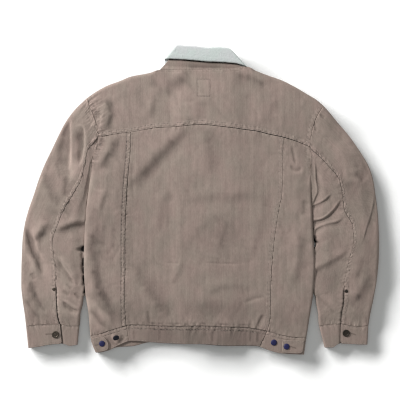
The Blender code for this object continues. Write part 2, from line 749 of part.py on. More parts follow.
def make_waistbands():
    rows = 3
    low_l, low_r = -176.5, 161.5
    hem_l, hem_r = -170.5, 143.0

    def thin(g):
        return np.full(g.shape[:-1], BAND_WALL)

    def rest(g):
        """Inside face of the upper layer: on the front band and its lap."""
        x = g[..., 0]
        return front_top(x, np.full_like(x, -330.0), BAND_WALL) + 2 * WRAP_RADIUS

    def ends(name, side):
        """A cross line of the band from its seam to its hem."""
        x0, x1, hem = dict(left=(low_l, hem_l, "back_hem"), right=(low_r, hem_r, "back_hem"))[side] if name == "princess" else (0, 0, "")
        if name == "princess":
            y0, y1 = float(LINES("band_seam", x0)), float(LINES(hem, x1))
            t = np.linspace(0, 1, rows + 1)
            return polyline(x0 + (x1 - x0) * t, y0 + (y1 - y0) * t)
        levels = np.linspace(SIDE_END[side], -366.6 if side == "left" else -371.3, rows + 1)
        return polyline(BODY(f"{side}_edge", levels), levels)

    left_end, right_end = ends("princess", "left"), ends("princess", "right")
    grid = coons(
        line("band_seam", low_l, low_r, CENTRE_ACROSS), line("back_hem", hem_l, hem_r, CENTRE_ACROSS), left_end, right_end
    )
    panel_object("waistband_back", wall_layer(grid, rest, thin, 1))

    for side, end in (("left", left_end), ("right", right_end)):
        fold = ends("side", side)
        seam_x, hem_x = (low_l, hem_l) if side == "left" else (low_r, hem_r)
        # upper layer, from the princess seam out to the side fold
        upper = coons(
            line("band_seam", seam_x, fold[0][0], SIDE_ACROSS), line("back_hem", hem_x, fold[-1][0], SIDE_ACROSS), end, fold
        )
        # lower layer, from the side fold to the lap in front
        lap = LAP if side == "left" else 1.0 - LAP
        middle = polyline(
            np.full(rows + 1, lap), np.linspace(float(LINES("band_seam", lap)), float(LINES("front_hem", lap)), rows + 1)
        )
        strips, stop = FRONT_SHOULDER + FRONT_NECKLINE, -LAP if side == "left" else lap
        seam, hem = line("band_seam", fold[0][0], stop, strips), line("front_hem", fold[-1][0], stop, strips)
        if side == "left":  # and on across the placket
            seam = np.concatenate([seam, middle[:1]])
            hem = np.concatenate([hem, middle[-1:]])
        lower = coons(seam, hem, fold, middle)

        def lower_inner(g, side=side):
            under, thick = band_height(g[..., 0], side)
            return under + thick

        def lower_wall(g, side=side):
            return band_height(g[..., 0], side)[1]

        surfaces = wrap(
            wall_layer(upper, rest, thin, 1, [dict(side="right", kind="wrap", steps=2)]),
            wall_layer(lower, lower_inner, lower_wall, -1, [dict(side="left", kind="wrap", steps=2)]),
        )
        panel_object(f"waistband_{side}", surfaces)


# ---------------------------------------------------------------- sleeves


def sleeve_wall(v):
    """Thick where it joins the body, thin at the cuff."""
    armhole = ease(1 - v / 0.16)
    cuff = ease((v - 0.93) / 0.07)
    return SLEEVE_WALL + (BODY_WALL - SLEEVE_WALL) * armhole + (BAND_WALL + 0.3 - SLEEVE_WALL) * cuff


def sleeve_line(side, name, start, count):
    end = float(CUFFS[side]("seam_y", 0.0 if name == "outer" else SLIT_STEP[side] if name == "back_seam" else 1.0))
    levels = np.linspace(start, end, count + 1)
    x = SLEEVES[side](name, levels)
    if name == "inner":
        edge = BODY(f"{side}_edge", levels)
        x = np.minimum(x, edge - 0.8) if side == "left" else np.maximum(x, edge + 0.8)
    return polyline(x, levels)


def cuff_line(side, which, start, end, count):
    at = np.linspace(start, end, count + 1)
    table = CUFFS[side]
    return polyline(table(f"{which}_x", at), table(f"{which}_y", at))


def make_sleeve(side):
    slit = SLIT_STEP[side]
    edge = f"{side}_edge"
    seam = sleeve_line(side, "back_seam", SEAM_START[side], SLEEVE_DOWN)
    outer = sleeve_line(side, "outer", TIP[side], SLEEVE_DOWN)
    inner = sleeve_line(side, "inner", UNDERARM, SLEEVE_DOWN)
    high = body_edge(edge, TIP[side], SEAM_START[side], YOKE_DOWN)
    low = body_edge(edge, SEAM_START[side], UNDERARM, LOWER_ARMHOLE)
    seam[0], outer[0], inner[0] = high[-1], high[0], low[-1]
    cuff_high = cuff_line(side, "seam", 0.0, slit, YOKE_DOWN)
    cuff_low = cuff_line(side, "seam", slit, 1.0, LOWER_ARMHOLE)
    seam[-1], outer[-1], inner[-1] = cuff_high[-1], cuff_high[0], cuff_low[-1]

    def wall(g):
        return sleeve_wall(g[..., 3])

    def upper_inner(kind):
        # the loft eases to the least gap by the folds at the two edges
        def height(g):
            x, y, u, v = g[..., 0], g[..., 1], g[..., 2], g[..., 3]
            near = ease((1 - u) / 0.35)
            least = LAYER_GAP if kind == "butt" else 2 * WRAP_RADIUS
            return sleeve_wall(v) + least + (LAYER_GAP + loft(x, y) - least) * near * ease((1 - v) / 0.12)

        return height

    upper = coons(high[::-1], cuff_high[::-1], seam, outer)
    under = coons(low, cuff_low, seam, inner)
    lower = coons(join(high, low), join(cuff_high, cuff_low), outer, inner)
    fold = dict(kind="wrap", steps=3)
    share = np.array([0.0] + [1.0] * SLEEVE_DOWN)
    surfaces = wrap(
        wall_layer(upper, upper_inner("wrap"), wall, 1, [dict(side="right", **fold)]),
        wall_layer(lower, wall, wall, -1, [dict(side="left", **fold), dict(side="right", kind="butt", steps=2, share=share)]),
    )
    panel_object(f"sleeve_top_{side}", surfaces)
    surfaces = wall_layer(under, upper_inner("butt"), wall, 1, [dict(side="right", kind="butt", steps=3, share=share)])
    panel_object(f"sleeve_under_{side}", surfaces)


def make_cuff(side):
    slit = SLIT_STEP[side]
    rows = 2

    def across(at):
        table = CUFFS[side]
        t = np.linspace(0, 1, rows + 1)
        x0, y0, x1, y1 = (float(table(n, at)) for n in ("seam_x", "seam_y", "hem_x", "hem_y"))
        return polyline(x0 + (x1 - x0) * t, y0 + (y1 - y0) * t)

    def wall(g):
        return np.full(g.shape[:-1], BAND_WALL)

    def inner(g):
        return np.full(g.shape[:-1], BAND_WALL + 2 * WRAP_RADIUS)

    lap = coons(cuff_line(side, "seam", slit, 0, 4), cuff_line(side, "hem", slit, 0, 4), across(slit), across(0))
    rims = [join(cuff_line(side, n, 0, slit, 4), cuff_line(side, n, slit, 1, 3)) for n in ("seam", "hem")]
    below = coons(*rims, across(0), across(1))
    tail = coons(cuff_line(side, "seam", 1, slit, 3), cuff_line(side, "hem", 1, slit, 3), across(1), across(slit))
    out = dict(side="right", kind="wrap", steps=2)
    back = dict(side="left", kind="wrap", steps=2)
    surfaces = wrap(
        wall_layer(lap, inner, wall, 1, [out]),
        wall_layer(below, wall, wall, -1, [back, out]),
        wall_layer(tail, inner, wall, 1, [back]),
    )
    panel_object(f"cuff_{side}", surfaces)


# ---------------------------------------------------------------- collar


def collar_line(which, count, start=0.0, end=1.0):
    at = np.linspace(start, end, count + 1)
    return polyline(COLLAR(f"{which}_x", at), COLLAR(f"{which}_y", at))


def straight(a, b, count):
    t = np.linspace(0, 1, count + 1)[:, None]
    return np.asarray(a, float) * (1 - t) + np.asarray(b, float) * t


def make_collar():
    rows = 3
    count = 8
    fold, edge = collar_line("fold", count), collar_line("edge", count)
    ends = {"left": straight(fold[0], edge[0], rows), "right": straight(fold[-1], edge[-1], rows)}
    fall_under = LEAF_RISE + STAND_WALL + 0.6

    def wall(g):
        return np.full(g.shape[:-1], SHERPA_WALL)

    def flat(height):
        return lambda g: np.full(g.shape[:-1], height)

    leaves = {}
    for side, k in (("left", 0), ("right", -1)):
        far = LEAVES[side]
        front = straight(far["fold"], far["point"], rows)
        along_fold = straight(far["fold"], fold[k], 5)
        along_edge = straight(far["point"], edge[k], 5)
        leaves[side] = coons(along_fold, along_edge, front, ends[side])

    # the fold runs round both sides of the neck, so its radius is half of
    # the collar's whole height there
    hollow = (fall_under - SHERPA_WALL) / 2
    to_left, to_right = (dict(side=n, kind="wrap", steps=3, hollow=hollow) for n in ("left", "right"))
    crest = dict(side="top", kind="butt", steps=2)
    mirrored = leaves["right"][:, ::-1].copy()
    mirrored[..., 2] = 1 - mirrored[..., 2]
    across = coons(fold, edge, ends["left"], ends["right"])
    surfaces = wrap(
        wall_layer(leaves["left"], flat(SHERPA_WALL), wall, -1, [to_right, crest]),
        wall_layer(across, flat(fall_under), wall, 1, [to_left, to_right, crest]),
        wall_layer(mirrored, flat(SHERPA_WALL), wall, -1, [to_left, crest]),
    )
    panel_object("collar_fall", surfaces, SHERPA)

    # The stand rises from the yoke's neckline and goes up under the fall
    bottom = line("top", NECK["left"], NECK["right"], NECKLINE)
    top = straight((-53.0, 361.0), (66.0, 351.0), NECKLINE)
    left = polyline([-96.0, -84.0, -75.5, -64.0, -53.0], [311.5, 326.0, 335.5, 349.0, 361.0])
    right = polyline([113.0, 97.0, 90.0, 77.0, 66.0], [319.0, 320.5, 329.0, 340.0, 351.0])
    left[0], right[0] = bottom[0], bottom[-1]
    grid = coons(bottom, top, left, right)

    def stand_inner(g):
        # highest at the seam, where it meets the yoke
        start = LEAF_RISE + NECK_WALL + LAYER_GAP + 0.2
        return start + (LEAF_RISE + 0.2 - start) * ease(g[..., 3] / 0.22)

    panel_object("collar_stand", wall_layer(grid, stand_inner, lambda g: np.full(g.shape[:-1], STAND_WALL), 1))


# ---------------------------------------------------------------- trims


def make_tabs():
    """Waist adjusters, laid over the ends of the side bands."""
    outlines = {
        "left": [
            (-258.5, -332.0), (-236.0, -326.5), (-227.0, -331.0), (-221.0, -340.0),
            (-218.5, -350.0), (-219.5, -358.8), (-236.0, -364.2), (-247.0, -364.6), (-254.0, -349.0),
        ],
        "right": [
            (250.0, -337.5), (201.0, -335.8), (197.5, -338.5), (196.6, -362.5),
            (200.5, -366.2), (212.0, -367.6), (246.0, -368.9), (248.0, -353.0),
        ],
    }
    flat = BAND_WALL * 2 + 2 * WRAP_RADIUS
    for side, outline in outlines.items():
        slab(f"tab_{side}", outline, flat + REST_GAP, TAB_WALL)
    top = flat + REST_GAP + TAB_WALL + REST_GAP
    radius = BUTTON["tab"]
    for name, x, y, z in (
        ("left_outer", -235.0, -344.4, top),
        ("left_inner", -201.4, -330.5, flat + REST_GAP),
        ("right_outer", 207.6, -351.4, top),
        ("right_inner", 177.4, -342.2, flat + REST_GAP),
    ):
        turned(f"tab_button_{name}", cap_profile(radius, 2.6), (x, y, z), NAVY)


def make_buttons():
    places = dict(left=(-346.8, -322.8), right=(350.4, -319.4))
    flat = BAND_WALL * 2 + 2 * WRAP_RADIUS
    for side, (x, y) in places.items():
        turned(f"cuff_button_{side}", cap_profile(BUTTON["cuff"], 2.8), (x, y, flat + REST_GAP), BRONZE)
    rivets = dict(left=(-349.8, -213.6), right=(349.9, -217.9))
    for side, (x, y) in rivets.items():
        below = height_on(bpy.data.objects[f"sleeve_top_{side}"], x, y, BUTTON["rivet"])
        turned(f"placket_rivet_{side}", rivet_profile(BUTTON["rivet"], 1.6), (x, y, below + REST_GAP), BRONZE)
    for k in range(6):
        y = 214.0 - 107.6 * k
        y = -322.0 if k == 5 else y
        carrier = bpy.data.objects["front_placket" if k < 5 else "waistband_left"]
        place = (0.0, y, height_on(carrier, 0.0, y, BUTTON["front"], -1) - REST_GAP)
        turned(f"front_button_{k + 1}", cap_profile(BUTTON["front"], 2.2), place, BRONZE, flip=True)


def recentre():
    """The origin goes under the middle of the whole jacket."""
    bpy.context.view_layer.update()
    graph = bpy.context.evaluated_depsgraph_get()
    corners = []
    for thing in MADE:
        seen = thing.evaluated_get(graph)
        mesh = seen.to_mesh()
        corners += [seen.matrix_world @ v.co for v in mesh.vertices]
        seen.to_mesh_clear()
    low = Vector([min(c[k] for c in corners) for k in range(3)])
    high = Vector([max(c[k] for c in corners) for k in range(3)])
    middle = (low + high) / 2
    shift = Vector((middle.x, middle.y, low.z))
    for thing in MADE:
        thing.location -= shift
    print("jacket", [round(c * 1000, 2) for c in (high - low)], "moved by", [round(c * 1000, 3) for c in shift])


def main():
    global jacket
    for thing in list(bpy.data.objects):
        bpy.data.objects.remove(thing, do_unlink=True)
    jacket = bpy.data.collections.new("sherpa_lined_jacket")
    bpy.context.scene.collection.children.link(jacket)
    make_fronts()
    make_placket()
    make_back()
    make_waistbands()
    for side in ("left", "right"):
        make_sleeve(side)
        make_cuff(side)
    make_collar()
    make_tabs()
    make_buttons()
    recentre()


main()
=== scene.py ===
"""Corduroy trucker jacket with a sherpa collar, laid face down: the visual model.

Each cloth piece is a thin shell on its solid's form, between an outside and an
The tables are in millimetres on the table top: +X across the
back towards the wearer's right sleeve and +Y towards the collar.  Creases,
seams and patches of painted light and shade are placed in the tables below.
"""

import math

import bpy
import numpy as np
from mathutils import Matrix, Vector
from mathutils.bvhtree import BVHTree


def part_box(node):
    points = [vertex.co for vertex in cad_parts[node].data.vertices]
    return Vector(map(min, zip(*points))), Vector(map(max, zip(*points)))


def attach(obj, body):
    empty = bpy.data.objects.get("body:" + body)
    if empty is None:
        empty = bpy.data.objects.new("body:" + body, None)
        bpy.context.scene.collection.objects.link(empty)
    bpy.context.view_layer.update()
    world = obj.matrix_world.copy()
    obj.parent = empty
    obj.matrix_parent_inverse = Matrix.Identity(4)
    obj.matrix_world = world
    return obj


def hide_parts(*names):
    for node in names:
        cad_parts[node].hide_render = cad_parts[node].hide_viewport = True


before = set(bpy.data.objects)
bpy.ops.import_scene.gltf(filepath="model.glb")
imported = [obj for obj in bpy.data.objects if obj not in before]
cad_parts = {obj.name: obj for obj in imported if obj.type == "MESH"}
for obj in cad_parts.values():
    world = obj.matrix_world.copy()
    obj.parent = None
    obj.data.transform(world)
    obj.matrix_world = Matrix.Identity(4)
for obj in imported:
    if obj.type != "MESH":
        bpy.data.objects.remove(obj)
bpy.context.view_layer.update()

MM = 0.001
SHIFT = np.array([0.41, 0.12, 0.0])  # the tables' zero to the frame's origin

# Wall thicknesses and gaps, as in the CAD
BODY_WALL, NECK_WALL, SLEEVE_WALL, BAND_WALL = 7.0, 5.0, 4.5, 3.0
PLACKET_WALL, UNDER_PLACKET_WALL, SHERPA_WALL, STAND_WALL = 3.0, 2.7, 5.5, 4.8
LAYER_GAP, LOFT, WRAP_RADIUS = 0.5, 1.6, 0.6
LEAF_RISE, PLACKET_RISE, LAP_RISE = 5.9, 2.6, 6.3
SEAM_GAP = 0.36

BODY_STEP, SLEEVE_STEP, PLAIN_STEP = 2.1, 1.75, 5.0


class Table:
    """Rows of named columns, read as smooth curves that don't overshoot."""

    def __init__(self, names, rows):
        self.names = names.split()
        self.rows = np.array(sorted(rows), dtype=float)

    def __call__(self, name, at):
        x = self.rows[:, 0]
        y = self.rows[:, self.names.index(name)]
        h = np.diff(x)
        d = np.diff(y) / h
        m = np.zeros(len(x))
        m[0], m[-1] = d[0], d[-1]
        for k in range(1, len(x) - 1):
            if d[k - 1] * d[k] > 0:
                w0, w1 = 2 * h[k] + h[k - 1], h[k] + 2 * h[k - 1]
                m[k] = (w0 + w1) / (w0 / d[k - 1] + w1 / d[k])
        at = np.asarray(at, dtype=float)
        k = np.clip(np.searchsorted(x, at) - 1, 0, len(h) - 1)
        t = np.clip((at - x[k]) / h[k], 0.0, 1.0)
        a, b = (1 + 2 * t) * (1 - t) ** 2, t * (1 - t) ** 2
        return a * y[k] + b * h[k] * m[k] + (1 - a) * y[k + 1] - t * t * (1 - t) * h[k] * m[k + 1]


# Across the body at each level: its two edges and its two princess seams
BODY = Table(
    "level left_edge left_princess right_princess right_edge",
    [
        (245, -271.0, -166.0, 205.0, 306.0),
        (220, -262.5, -166.0, 204.5, 292.0),
        (192, -252.0, -166.0, 203.0, 276.0),
        (163, -244.0, -166.0, 201.0, 268.0),
        (132, -246.0, -166.5, 198.5, 263.0),
        (106, -256.0, -167.5, 198.0, 264.0),
        (84, -259.5, -170.0, 197.8, 265.2),
        (24, -267.4, -174.7, 196.3, 266.9),
        (-36, -274.5, -177.6, 186.2, 269.5),
        (-96, -277.7, -179.3, 177.6, 272.6),
        (-156, -279.0, -179.0, 171.8, 275.5),
        (-216, -276.0, -180.0, 169.0, 272.6),
        (-276, -267.4, -179.5, 168.0, 264.0),
        (-330, -263.5, -174.5, 156.0, 256.0),
        (-350, -258.0, -171.5, 144.0, 253.0),
        (-372, -248.5, -169.5, 138.0, 250.0),
    ],
)

# Along the body at each distance across: shoulder and neck line, yoke seam,
# waistband seam, and the hems of the back and of the front
LINES = Table(
    "across top yoke_seam band_seam back_hem front_hem",
    [
        (-271, 245.0, 152.0, -328.0, -366.8, -366.5),
        (-245, 262.5, 152.5, -322.5, -366.8, -364.5),
        (-220, 275.5, 155.5, -314.5, -361.5, -358.0),
        (-195, 284.5, 159.5, -307.0, -349.0, -352.5),
        (-165, 296.5, 162.5, -299.5, -338.5, -351.0),
        (-120, 305.0, 170.3, -301.0, -341.5, -341.5),
        (-96, 311.5, 173.3, -302.3, -343.3, -341.0),
        (-60, 311.0, 174.8, -302.6, -345.0, -342.0),
        (0, 311.0, 179.8, -301.4, -345.6, -343.0),
        (57, 311.0, 174.5, -304.0, -349.5, -346.0),
        (90, 312.5, 170.3, -305.0, -350.0, -347.0),
        (113, 319.0, 167.0, -306.2, -350.0, -348.0),
        (135, 309.5, 164.3, -309.5, -351.0, -349.0),
        (166, 298.2, 156.5, -315.7, -361.0, -358.0),
        (195, 288.0, 150.5, -324.0, -368.5, -365.5),
        (228, 271.5, 140.5, -329.3, -370.5, -369.0),
        (257, 254.4, 128.5, -330.0, -371.3, -371.3),
        (280, 240.3, 118.0, -331.0, -371.5, -371.5),
        (296, 226.8, 108.0, -331.0, -371.5, -371.5),
    ],
)

# Across each sleeve at each level: its outer fold, back seam and inner fold
SLEEVES = {
    "left": Table(
        "level outer back_seam inner",
        [
            (245, -271.0, -244.0, -258.0),
            (215, -302.2, -244.0, -258.0),
            (185, -324.0, -244.0, -258.0),
            (152, -341.2, -245.0, -258.0),
            (120, -356.4, -268.3, -258.0),
            (84, -373.7, -275.8, -260.6),
            (48, -387.8, -285.1, -265.5),
            (12, -399.6, -305.3, -270.7),
            (-24, -412.1, -326.2, -275.5),
            (-60, -421.4, -341.0, -278.0),
            (-96, -426.5, -353.0, -279.5),
            (-132, -428.2, -350.0, -280.5),
            (-168, -429.4, -344.5, -280.9),
            (-204, -429.6, -345.5, -279.5),
            (-240, -426.5, -344.6, -280.0),
            (-276, -421.2, -342.5, -287.3),
            (-304, -418.3, -335.8, -290.0),
        ],
    ),
    "right": Table(
        "level outer back_seam inner",
        [
            (227, 295.7, 263.0, 264.0),
            (215, 306.7, 263.0, 264.0),
            (185, 331.7, 263.0, 264.0),
            (155, 357.4, 263.0, 264.0),
            (127, 377.5, 264.0, 264.5),
            (103, 393.0, 287.5, 265.0),
            (84, 404.0, 305.3, 266.4),
            (48, 416.2, 333.6, 267.8),
            (12, 421.7, 341.2, 268.8),
            (-24, 426.5, 346.0, 270.5),
            (-60, 429.1, 364.8, 272.5),
            (-96, 430.3, 368.6, 275.0),
            (-132, 430.0, 359.8, 276.8),
            (-168, 427.7, 351.0, 277.6),
            (-204, 423.1, 345.6, 276.0),
            (-240, 416.4, 345.0, 277.2),
            (-276, 409.0, 339.6, 284.0),
            (-304, 404.9, 338.2, 286.3),
        ],
    ),
}

# Round each cuff from its outer fold to its inner fold
CUFF_NAMES = "step seam_x seam_y hem_x hem_y"
CUFFS = {
    "left": Table(
        CUFF_NAMES,
        [
            (0.00, -418.3, -303.6, -412.8, -355.9),
            (0.22, -395.0, -300.7, -389.0, -352.8),
            (0.45, -366.0, -298.8, -360.0, -347.5),
            (0.62, -335.8, -298.4, -331.2, -345.5),
            (0.82, -312.0, -303.0, -313.0, -350.4),
            (1.00, -290.0, -302.4, -294.5, -348.0),
        ],
    ),
    "right": Table(
        CUFF_NAMES,
        [
            (0.00, 404.9, -301.0, 402.5, -347.5),
            (0.18, 386.0, -303.6, 384.0, -347.3),
            (0.38, 364.0, -302.5, 362.0, -346.0),
            (0.58, 338.2, -297.6, 337.0, -345.0),
            (0.80, 314.0, -298.8, 318.0, -354.5),
            (1.00, 286.3, -302.4, 299.5, -354.5),
        ],
    ),
}
SLIT_STEP = {"left": 0.62, "right": 0.58}

# The collar's fold, and the free edge of its fall, from left to right
COLLAR = Table(
    "step fold_x fold_y edge_x edge_y",
    [
        (0.00, -59.5, 371.5, -85.0, 338.5),
        (0.18, -34.0, 370.2, -50.0, 337.2),
        (0.36, -10.0, 368.8, -15.0, 334.4),
        (0.54, 17.0, 365.5, 20.0, 331.6),
        (0.72, 44.0, 366.2, 55.0, 330.0),
        (0.88, 65.0, 364.8, 86.0, 327.2),
        (1.00, 77.0, 359.0, 112.0, 320.5),
    ],
)
LEAVES = {
    "left": dict(fold=(-9.0, 246.0), point=(-80.0, 222.0)),
    "right": dict(fold=(11.0, 244.0), point=(99.0, 214.0)),
}

TIP = {"left": 245.0, "right": 226.8}
SEAM_START = {"left": 152.0, "right": 127.5}
UNDERARM = 84.0
SIDE_END = {"left": -326.4, "right": -330.0}
NECK = {"left": -96.0, "right": 113.0}
FRONT_CORNER = {"left": -97.0, "right": 124.0}
FRONT_NECK = 238.0
LAP = 19.0
MID_SEAM = {"left": -166.0, "right": 199.5}
LOW_SEAM = {"left": -176.5, "right": 161.5}
HEM_SEAM = {"left": -170.5, "right": 143.0}

# The creases: where, half width on the steep side and on the gentle one, which
# lies to the left of the way the line runs, depth (a ridge is negative), line
FOLDS = [
    # under the left yoke
    ("body", 5, 8, 0.5, [(-215, 116), (-227, 88)]),
    ("body", 3, 5, 1.3, [(-234, 149), (-239, 125)]),
    # down the left yoke
    ("body", 4, 5, -1.2, [(-230, 218), (-235, 187), (-242, 166)]),
    # down the left side
    ("body", 5, 7, 0.7, [(-204, -58), (-206, -90), (-205, -128)]),
    ("body", 3.5, 6, 0.55, [(-214, -152), (-200, -124), (-186, -102)]),
    ("body", 3.5, 6, 0.5, [(-224, -136), (-211, -114), (-200, -102)]),
    ("body", 3.5, 5, 0.45, [(-161, 0), (-162, 36), (-162, 72), (-158, 106)]),
    # on the right side panel
    ("body", 5, 7, 1.2, [(252, 5), (250, -14), (246, -41)]),
    ("body", 2.5, 3.5, 1.1, [(219, 132), (226, 94), (229, 81)]),
    ("body", 3, 4, 0.9, [(214, 87), (224, 70), (239, 71), (242, 84)]),
    # across the small of the back, and by the waistband
    ("body", 1.5, 2.0, 0.28, [(-86, -148), (-66, -150), (-44, -151)]),
    ("body", 1.5, 2.2, 0.36, [(0, -148), (31, -150), (58, -151), (79, -152), (108, -152)]),
    ("body", 3, 5, 0.9, [(103, -247), (120, -238), (139, -233), (158, -230)]),
    ("body", 3, 4, 1.5, [(155, -272), (146, -283), (141, -294), (139, -306)]),
    ("body", 3, 4, 1.1, [(-127, -262), (-122, -282), (-124, -298)]),
    # left sleeve: ridges by the armhole
    ("left", 2.6, 3, -1.1, [(-309, 199), (-309, 170), (-308, 140), (-307, 110), (-307, 84)]),
    ("left", 7, 8, -1.5, [(-309, 142), (-307, 106), (-306, 76), (-309, 34)]),
    ("left", 2.2, 2.2, -1.2, [(-300, 174), (-288, 179), (-275, 174), (-276, 149), (-278, 127)]),
    ("left", 3.5, 26, 2.4, [(-318, 62), (-316, 90), (-315, 130), (-314, 196)]),
    ("left", 3, 13, 3.0, [(-293, 76), (-286, 100), (-281, 124), (-279, 148), (-279, 176)]),
    ("left", 5, 9, 1.8, [(-320, 60), (-322, 36), (-322, 4)]),
    # left sleeve: at the elbow
    ("left", 3, 5, 0.9, [(-383, -89), (-382, -112), (-381, -137)]),
    ("left", 3, 5, -1.0, [(-401, -67), (-394, -98), (-382, -128), (-366, -156)]),
    ("left", 4, 5, 1.3, [(-406, -174), (-395, -193)]),
    # left sleeve: above the cuff
    ("left", 5, 7, 1.6, [(-422, -233), (-403, -262), (-382, -292)]),
    ("left", 4, 6, 1.4, [(-397, -216), (-390, -236), (-379, -257), (-367, -274)]),
    ("left", 5, 7, -1.8, [(-344, -132), (-324, -146), (-310, -164), (-293, -194)]),
    ("left", 2.2, 7, 2.2, [(-298, -209), (-316, -178), (-328, -163), (-340, -142)]),
    ("left", 2.6, 5, 2.8, [(-284, -268), (-298, -266), (-312, -256), (-331, -241)]),
    ("left", 2.5, 4, 1.4, [(-300, -270), (-313, -259), (-328, -253)]),
    ("left", 2.5, 3.5, 1.1, [(-322, -199), (-307, -216)]),
    ("left", 2.5, 3.5, 1.3, [(-312, -187), (-290, -206)]),
    ("left", 2.5, 3.5, 1.0, [(-331, -216), (-312, -230)]),
    ("left", 2.5, 3.5, 1.2, [(-302, -221), (-288, -240)]),
    # right sleeve: four curved folds from the body
    ("right", 1.4, 5, 1.5, [(276, 98), (279, 72), (280, 48), (285, 20), (280, 9), (272, -10)]),
    ("right", 1.6, 6, 1.7, [(318, 16), (306, 3), (298, -3), (283, -12), (265, -17)]),
    ("right", 1.6, 8, 2.2, [(342, 6), (328, -17), (316, -32), (301, -44), (289, -50), (268, -52)]),
    ("right", 2, 6, 1.5, [(346, -41), (331, -56), (316, -57), (301, -61), (289, -66), (277, -74), (271, -89)]),
    # right sleeve: at the elbow
    ("right", 1.4, 9, 0.9, [(420, 36), (420, 19), (419, -7), (411, -38), (400, -68), (392, -99), (384, -110)]),
    ("right", 6, 11, 1.1, [(394, -130), (389, -156), (381, -181), (370, -194)]),
    ("right", 6, 9, 0.8, [(370, 68), (382, 55), (395, 42)]),
    ("right", 6, 9, 1.1, [(331, -278), (310, -257), (283, -235)]),
    ("right", 7, 10, 0.9, [(390, -224), (372, -247), (364, -262)]),
    # right sleeve: short creases at the armhole
    ("right", 1.5, 2.2, 0.9, [(285, 207), (298, 193)]),
    ("right", 1.8, 2.6, 1.2, [(271, 185), (278, 162)]),
    # collar stand
    ("stand", 3, 5, 1.3, [(-34, 319), (10, 318), (58, 318)]),
    # waistband
    ("band", 2, 2.5, 0.5, [(139, -312), (138, -330), (137, -346)]),
    ("band", 2, 2.5, 0.4, [(122, -312), (121, -330), (120, -344)]),
    ("band", 2, 2.5, 0.4, [(-160, -310), (-159, -324), (-158, -338)]),
    ("band", 2.5, 3, 0.35, [(-98, -308), (-97, -326), (-99, -342)]),
    ("band", 2.5, 3, 0.3, [(30, -308), (29, -326), (31, -342)]),
    ("band", 4, 5, -1.6, [(-214, -322), (-205, -334), (-196, -346)]),
    ("band", 3, 5, 1.1, [(-186, -322), (-188, -334), (-196, -345)]),
]

